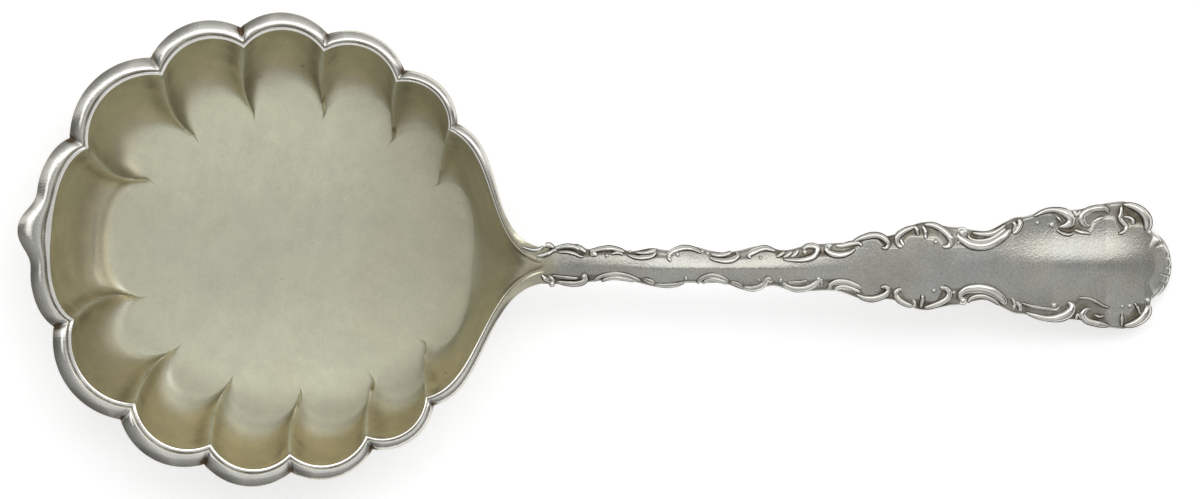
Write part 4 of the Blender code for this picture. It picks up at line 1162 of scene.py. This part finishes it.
def tarnish_group():
    """Darkening of tarnish and painted shade: gathers where the mask is high, broken up by noise, with loose
    specks of tarnish.
    """
    inputs = {"Colour": (0.7, 0.7, 0.7, 1.0), "Tarnish": (0.1, 0.08, 0.05, 1.0), "Mask": 0.0, "Specks": 0.0}
    group, given, result = new_group("tarnish", inputs, ("Colour", "Share"))
    nodes = Nodes(group)
    place = nodes.place()
    broken = nodes.math("MULTIPLY_ADD", nodes.noise(place, 1500.0, 3.0, 0.6), 0.9, 0.5)
    patches = nodes.math("MULTIPLY_ADD", nodes.noise(place, 380.0, 2.0, 0.5), 3.0, -0.75, clamp=True)
    gathered = nodes.math("MULTIPLY", given["Mask"], nodes.math("MULTIPLY", broken, patches))
    spots = nodes.math("SUBTRACT", nodes.noise(place, 900.0, 4.0, 0.7), 0.66)
    spots = nodes.math("MULTIPLY", nodes.math("MAXIMUM", spots, 0.0), 5.0)
    spots = nodes.math("MULTIPLY", spots, given["Specks"])
    share = nodes.math("ADD", gathered, spots, clamp=True)
    nodes.feed(result["Colour"], nodes.mix(share, given["Colour"], given["Tarnish"]))
    nodes.feed(result["Share"], share)
    return group


def silver(name, colour, tarnish, mask, roughness, grain, scratches, specks=None, satin=()):
    """Worn silver: a metal whose colour darkens with tarnish and painted shade, wherever its mask puts them,
    and whose roughness and normal carry fine wear.

    The colour is one that the user set, or a function that adds the nodes for it. Satin pairs a mask with
    what it adds to the roughness.
    """
    made = bpy.data.materials.get(name) or bpy.data.materials.new(name)
    nodes = emptied(made)
    wear = bpy.data.node_groups.get("fine_wear") or wear_group()
    darken = bpy.data.node_groups.get("tarnish") or tarnish_group()
    tone = colour(nodes) if callable(colour) else colour
    values = {"Colour": tone, "Tarnish": tarnish, "Mask": nodes.mask(mask)}
    if specks:
        values["Specks"] = nodes.math("MULTIPLY_ADD", nodes.mask(specks), 0.8, 0.45)
    dark = nodes.add("Group", values, node_tree=darken).outputs
    fine = nodes.add("Group", {"Grain": grain, "Scratches": scratches}, node_tree=wear).outputs
    toned = nodes.add("VectorMath", {0: dark["Colour"], "Scale": fine["Tone"]}, operation="SCALE")
    rough = nodes.math("MULTIPLY_ADD", fine["Dullness"], 0.1, roughness)
    for label, change in satin:
        rough = nodes.math("MULTIPLY_ADD", nodes.mask(label), change, rough)
    rough = nodes.math("MULTIPLY_ADD", dark["Share"], 0.35, rough)
    bump = nodes.add("Bump", {"Strength": 0.25, "Distance": 0.04 * MM, "Height": fine["Height"]})
    values = {"Base Color": toned.outputs["Vector"], "Roughness": rough, "Normal": bump.outputs["Normal"]}
    shader = nodes.add("BsdfPrincipled", {"Metallic": 1.0, **values})
    nodes.add("OutputMaterial", {"Surface": shader.outputs["BSDF"]})
    return made


def gilding(finish):
    """Worn gilding: pale on the worn floor, olive gold up the flutes and at the neck, silver outside, with
    painted shade on the ridges' dark flanks and painted highlights at the ridge ends.
    """

    def colour(nodes):
        place = nodes.place()
        parts = nodes.add("SeparateXYZ", {0: place}).outputs
        cloud = nodes.math("SUBTRACT", nodes.noise(place, 140.0, 4.0, 0.6), 0.5)
        uneven = nodes.math("MULTIPLY_ADD", cloud, 0.9, nodes.mask("gold"), clamp=True)
        aside = nodes.spread(nodes.math("ABSOLUTE", parts["Y"]), 3 * MM, 14 * MM)
        upper = nodes.spread(parts["Y"], -12 * MM, 12 * MM)
        inward = nodes.spread(parts["X"], 6 * MM, 22 * MM, 0.8)
        pale = nodes.mix(aside, finish.floor_gilding, finish.side_gilding)
        deep = nodes.mix(upper, finish.lower_gold, finish.upper_gold)
        dusky = nodes.math("MULTIPLY", inward, nodes.math("MULTIPLY_ADD", upper, 0.55, 0.45))
        gold = nodes.mix(dusky, nodes.mix(uneven, pale, deep), finish.neck_gold)
        # Painted shade on the ridges' dark flanks and the other shaded places of the flank mask
        gold = nodes.mix(nodes.mask("painted_shade"), gold, finish.painted_shade_gold)
        # Painted highlights at the ridge ends, beside the ridges and across the tip's flute
        gold = nodes.mix(nodes.mask("painted_highlight"), gold, finish.painted_highlight_gold)
        return nodes.mix(nodes.mask("gilt"), finish.bowl_back, gold)

    return colour


def tinted(plain, cloudy, warm, painted_highlight):
    """Silver with clouds of a second tone, a warm one where gilt and a bright one where a painted highlight
    lies.
    """

    def colour(nodes):
        cloud = nodes.noise(nodes.place(), 130.0, 3.0, 0.6)
        clouds = nodes.math("MULTIPLY_ADD", cloud, 3.0, -1.0, clamp=True)
        warmed = nodes.mix(nodes.mask("gilt"), nodes.mix(clouds, plain, cloudy), warm)
        return nodes.mix(nodes.mask("painted_highlight"), warmed, painted_highlight)

    return colour


def satin_silver(finish):
    """The handle's own finish: satin silver, darkened between the scrolls with tarnish and painted shade,
    with a painted highlight on the shell's edge.
    """
    tones = tinted(finish.handle_silver, finish.handle_clouds, finish.handle_gilding, finish.shell_edge_highlight)
    look = (tones, finish.handle_tarnish_and_shade, "recess", finish.handle_roughness)
    return silver("satin_silver", *look, grain=1.7, scratches=0.15, satin=(("gilt", 0.25), ("painted_highlight", -0.1)))


def settings(context):
    """The sizes of bowl, rim and handle, and the finishes."""
    return tuple(getattr(context.scene, name) for name in GROUPS)


class SPOON_OT_bowl(bpy.types.Operator):
    """Builds the fluted bowl"""

    bl_idname = "spoon.bowl"
    bl_label = "Bowl"

    def execute(self, context):
        bowl, rim, handle, finish = settings(context)
        rows, masks = bowl_surface(bowl, rim, handle)
        # The hollow mask lays painted shade in the bowl's tarnish colour; the gold mask places tarnish specks
        look = (gilding(finish), finish.bowl_tarnish_and_shade, "hollow", finish.bowl_roughness)
        satin = (("gilt", 0.36), ("gold", -0.22), ("painted_highlight", -0.6))
        gilt = silver("gilding_wear_and_painted_light", *look, grain=0.6, scratches=0.6, specks="gold", satin=satin)
        masks = {name: mask[::-1] for name, mask in masks.items()}
        weave = woven(placed(rows, bowl, handle, False)[::-1], masks)
        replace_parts(weave.build("fluted_bowl", gilt, "gilt_silver", 60), "bowl")
        return {"FINISHED"}


class SPOON_OT_rim(bpy.types.Operator):
    """Builds the rim wire with its folds at the notches"""

    bl_idname = "spoon.rim"
    bl_label = "Rim wire"

    def execute(self, context):
        bowl, rim, handle, finish = settings(context)
        rows, masks = rim_surface(bowl, rim, handle)
        tones = tinted(finish.rim_silver, finish.rim_clouds, finish.rim_gilding, finish.rim_lip_highlight)
        look = (tones, finish.rim_dirt_and_shade, "fold", finish.rim_roughness)
        polished = silver("polished_wire", *look, grain=0.6, scratches=0.5)
        weave = woven(placed(rows, bowl, handle, False), masks)
        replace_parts(weave.build("rolled_rim", polished, "polished_silver"), "rim_wire")
        return {"FINISHED"}


class SPOON_OT_handle(bpy.types.Operator):
    """Builds the handle's body"""

    bl_idname = "spoon.handle"
    bl_label = "Handle"

    def execute(self, context):
        bowl, _, handle, finish = settings(context)
        rows, masks = handle_surface(bowl, handle)
        weave = woven(placed(rows, bowl, handle, True), masks)
        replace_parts(weave.build("handle_body", satin_silver(finish), "worn_silver", 70), "handle")
        return {"FINISHED"}


class SPOON_OT_heel(bpy.types.Operator):
    """Builds the heel, which carries the handle's underside down the back of the bowl"""

    bl_idname = "spoon.heel"
    bl_label = "Heel"

    def execute(self, context):
        bowl, rim, handle, finish = settings(context)
        rows = heel_surface(bowl, rim, handle)
        weave = woven(placed(rows, bowl, handle, True), {"recess": np.zeros(rows.shape[:2])})
        weave.build("heel", satin_silver(finish), "worn_silver", 60)
        return {"FINISHED"}


class SPOON_OT_scrolls(bpy.types.Operator):
    """Builds the raised scrolls: each stroke a half-round ridge, slim at its ends, and each bead a dome"""

    bl_idname = "spoon.scrolls"
    bl_label = "Scrolls"

    def execute(self, context):
        bowl, _, handle, finish = settings(context)
        borders = border_lines(handle)

        def ground(x, y):
            level = field_level(x, y, bowl, handle) - handle.recess * ground_mask(x, y, borders)
            over_rim = bowl.seat_height + 0.25 * MM - 0.4 * np.maximum(x - 1.6 * MM, 0)
            return np.maximum(level, over_rim)

        weaves = {1: Weave(), -1: Weave()}
        for side, width, line in stroke_paths(handle):
            rows, foot = stroke_surface(line, width, handle.relief, ground)
            weaves[side].add(placed(rows, bowl, handle, True), {"recess": foot})
        for side, beads in ((1, LEFT_BEADS), (-1, RIGHT_BEADS)):
            for x, y, radius in beads:
                plan = np.array([x * MM, side * y * MM])
                centre = np.append(plan, ground(*plan))
                rows, foot = dome(placed(centre, bowl, handle, True), radius * MM, 0.2 * MM)
                weaves[side].add(rows, {"recess": foot})
        look = (finish.scroll_silver, finish.scroll_tarnish_and_shade, "recess", finish.scroll_roughness)
        raised = silver("raised_silver", *look, grain=0.4, scratches=0.4)
        weaves[1].build("left_scrolls", raised, "worn_silver")
        weaves[-1].build("right_scrolls", raised, "worn_silver")
        return {"FINISHED"}


class SPOON_OT_shell(bpy.types.Operator):
    """Builds the shell at the handle's end"""

    bl_idname = "spoon.shell"
    bl_label = "End shell"

    def execute(self, context):
        bowl, _, handle, finish = settings(context)
        rows, masks = shell_surface(bowl, handle)
        weave = woven(placed(rows, bowl, handle, True), masks)
        weave.build("end_shell", satin_silver(finish), "worn_silver", 70)
        return {"FINISHED"}


class SPOON_OT_stage(bpy.types.Operator):
    """Sets the floor, the light and the camera"""

    bl_idname = "spoon.stage"
    bl_label = "Stage"

    # Levels of light over one part of a direction: places from -1 to 1 with the level at each
    across_stops = (
        *((-1.0, 0.36), (-0.75, 0.4), (-0.5, 0.68), (-0.2, 0.72), (0.0, 0.52), (0.14, 0.58), (0.27, 2.0)),
        *((0.43, 2.0), (0.56, 0.98), (0.75, 0.7), (1.0, 0.6)),
    )
    height_stops = ((-1.0, 0.6), (0.0, 0.7), (0.35, 0.85), (0.75, 1.0), (1.0, 1.0))
    along_stops = (
        *((-1.0, 0.35), (-0.65, 0.47), (-0.42, 0.62), (-0.3, 0.78), (-0.15, 1.13), (0.0, 1.03), (0.45, 1.1)),
        *((0.62, 1.0), (0.78, 0.6), (1.0, 0.45)),
    )
    window_along = ((-1.0, 0.0), (-0.68, 0.0), (-0.58, 1.0), (-0.48, 1.0), (-0.38, 0.0), (1.0, 0.0))
    window_across = ((-1.0, 0.0), (-0.12, 0.0), (0.06, 1.0), (0.3, 1.0), (0.45, 0.0), (1.0, 0.0))
    white = (1.0, 1.0, 1.0, 1.0)

    def execute(self, context):
        self.set_floor(context)
        self.set_light(context)
        self.set_camera(context)
        context.scene.view_settings.view_transform = "Standard"
        return {"FINISHED"}

    def set_floor(self, context):
        """A level square that glows where the camera or a mirror sees it, so that it shows white."""
        half_size, glow = 3.0, 0.48
        mesh = bpy.data.meshes.new("floor")
        corners = [(x * half_size, y * half_size, 0.0) for x, y in ((-1, -1), (1, -1), (1, 1), (-1, 1))]
        mesh.from_pydata(corners, [], [(0, 1, 2, 3)])
        paint = bpy.data.materials.new("pale_floor")
        nodes = emptied(paint)
        rays = nodes.add("LightPath", {}).outputs
        seen = nodes.math("MAXIMUM", rays["Is Camera Ray"], rays["Is Glossy Ray"])
        values = {"Base Color": context.scene.spoon_finish.table, "Roughness": 0.9, "Specular IOR Level": 0.0}
        values |= {"Emission Color": self.white, "Emission Strength": nodes.math("MULTIPLY", seen, glow)}
        shader = nodes.add("BsdfPrincipled", values)
        nodes.add("OutputMaterial", {"Surface": shader.outputs["BSDF"]})
        mesh.materials.append(paint)
        floor = bpy.data.objects.new("floor", mesh)
        context.scene.collection.objects.link(floor)

    def set_light(self, context):
        """A soft studio: a bright strip overhead towards +Y, a dark one opposite, and a window near the tip.

        The level is the product of three ramps, one for each part of the direction, plus the window's product
        of two. A ramp holds half of its levels, which the doublings make up for. The camera sees plain white.
        """
        world = bpy.data.worlds.new("studio")
        context.scene.world = world
        nodes = emptied(world)
        place = nodes.add("TexCoord", {}).outputs["Generated"]
        parts = nodes.add("SeparateXYZ", {0: place}).outputs
        across = self.levels(nodes, parts["Y"], self.across_stops)
        height = self.levels(nodes, parts["Z"], self.height_stops)
        along = self.levels(nodes, parts["X"], self.along_stops)
        room = nodes.math("MULTIPLY", nodes.math("MULTIPLY", across, height), along)
        window_along = self.levels(nodes, parts["X"], self.window_along)
        window = nodes.math("MULTIPLY", window_along, self.levels(nodes, parts["Y"], self.window_across))
        level = nodes.math("MULTIPLY_ADD", room, 2.0**3, nodes.math("MULTIPLY", window, 2.0**2))
        studio = nodes.add("Background", {"Color": self.white, "Strength": level})
        plain = nodes.add("Background", {"Color": self.white, "Strength": 1.0})
        rays = nodes.add("LightPath", {}).outputs
        values = {0: rays["Is Camera Ray"], 1: studio.outputs["Background"], 2: plain.outputs["Background"]}
        choice = nodes.add("MixShader", values)
        nodes.add("OutputWorld", {"Surface": choice.outputs["Shader"]})

    def levels(self, nodes, part, stops):
        """A soft ramp of half levels over one part of a direction, -1 to 1."""
        ramp = nodes.add("ValToRGB", {"Fac": nodes.math("MULTIPLY_ADD", part, 0.5, 0.5)})
        ramp.color_ramp.interpolation = "EASE"
        elements = ramp.color_ramp.elements
        while len(elements) < len(stops):
            elements.new(0.5)
        for element, (position, level) in zip(elements, stops):
            element.position = position / 2 + 0.5
            element.color = (level / 2, level / 2, level / 2, 1.0)
        return ramp.outputs["Color"]

    def set_camera(self, context):
        """A long lens straight above, framed as the photograph."""
        distance, view_width, rim_level = 2.0, 0.12468, 0.009
        camera = bpy.data.cameras.new("camera")
        camera.sensor_width = 36.0
        camera.lens = distance * camera.sensor_width / view_width
        camera.clip_start = 0.01
        eye = bpy.data.objects.new("camera", camera)
        eye.location = (33.7 * MM, 0.08 * MM, distance + rim_level)
        context.scene.collection.objects.link(eye)
        context.scene.camera = eye


class SPOON_PT_panel(bpy.types.Panel):
    """Sizes, colours and buttons for the spoon's pieces"""

    bl_label = "Bonbon spoon"
    bl_idname = "SPOON_PT_panel"
    bl_space_type = "VIEW_3D"
    bl_region_type = "UI"
    bl_category = "Spoon"

    def draw(self, context):
        for group in settings(context):
            box = self.layout.box()
            for name in group.bl_rna.properties.keys():
                if name not in {"rna_type", "name"}:
                    box.prop(group, name)
        for operator in OPERATORS:
            self.layout.operator(operator.bl_idname)


GROUPS = {
    "spoon_bowl": BowlSizes,
    "spoon_rim": RimSizes,
    "spoon_handle": HandleSizes,
    "spoon_finish": Finishes,
}
OPERATORS = (
    SPOON_OT_bowl,
    SPOON_OT_rim,
    SPOON_OT_handle,
    SPOON_OT_heel,
    SPOON_OT_scrolls,
    SPOON_OT_shell,
    SPOON_OT_stage,
)
CLASSES = (*GROUPS.values(), *OPERATORS, SPOON_PT_panel)


def register():
    """Registers the classes and hangs their settings on the scene."""
    for item in CLASSES:
        bpy.utils.register_class(item)
    for name, group in GROUPS.items():
        setattr(bpy.types.Scene, name, PointerProperty(type=group))


def unregister():
    """Takes back what register does."""
    for name in GROUPS:
        delattr(bpy.types.Scene, name)
    for item in reversed(CLASSES):
        bpy.utils.unregister_class(item)


def main():
    """Builds the spoon piece by piece."""
    register()
    bpy.ops.spoon.bowl()
    bpy.ops.spoon.rim()
    bpy.ops.spoon.handle()
    bpy.ops.spoon.heel()
    bpy.ops.spoon.scrolls()
    bpy.ops.spoon.shell()
    bpy.ops.spoon.stage()


if __name__ == "__main__":
    main()
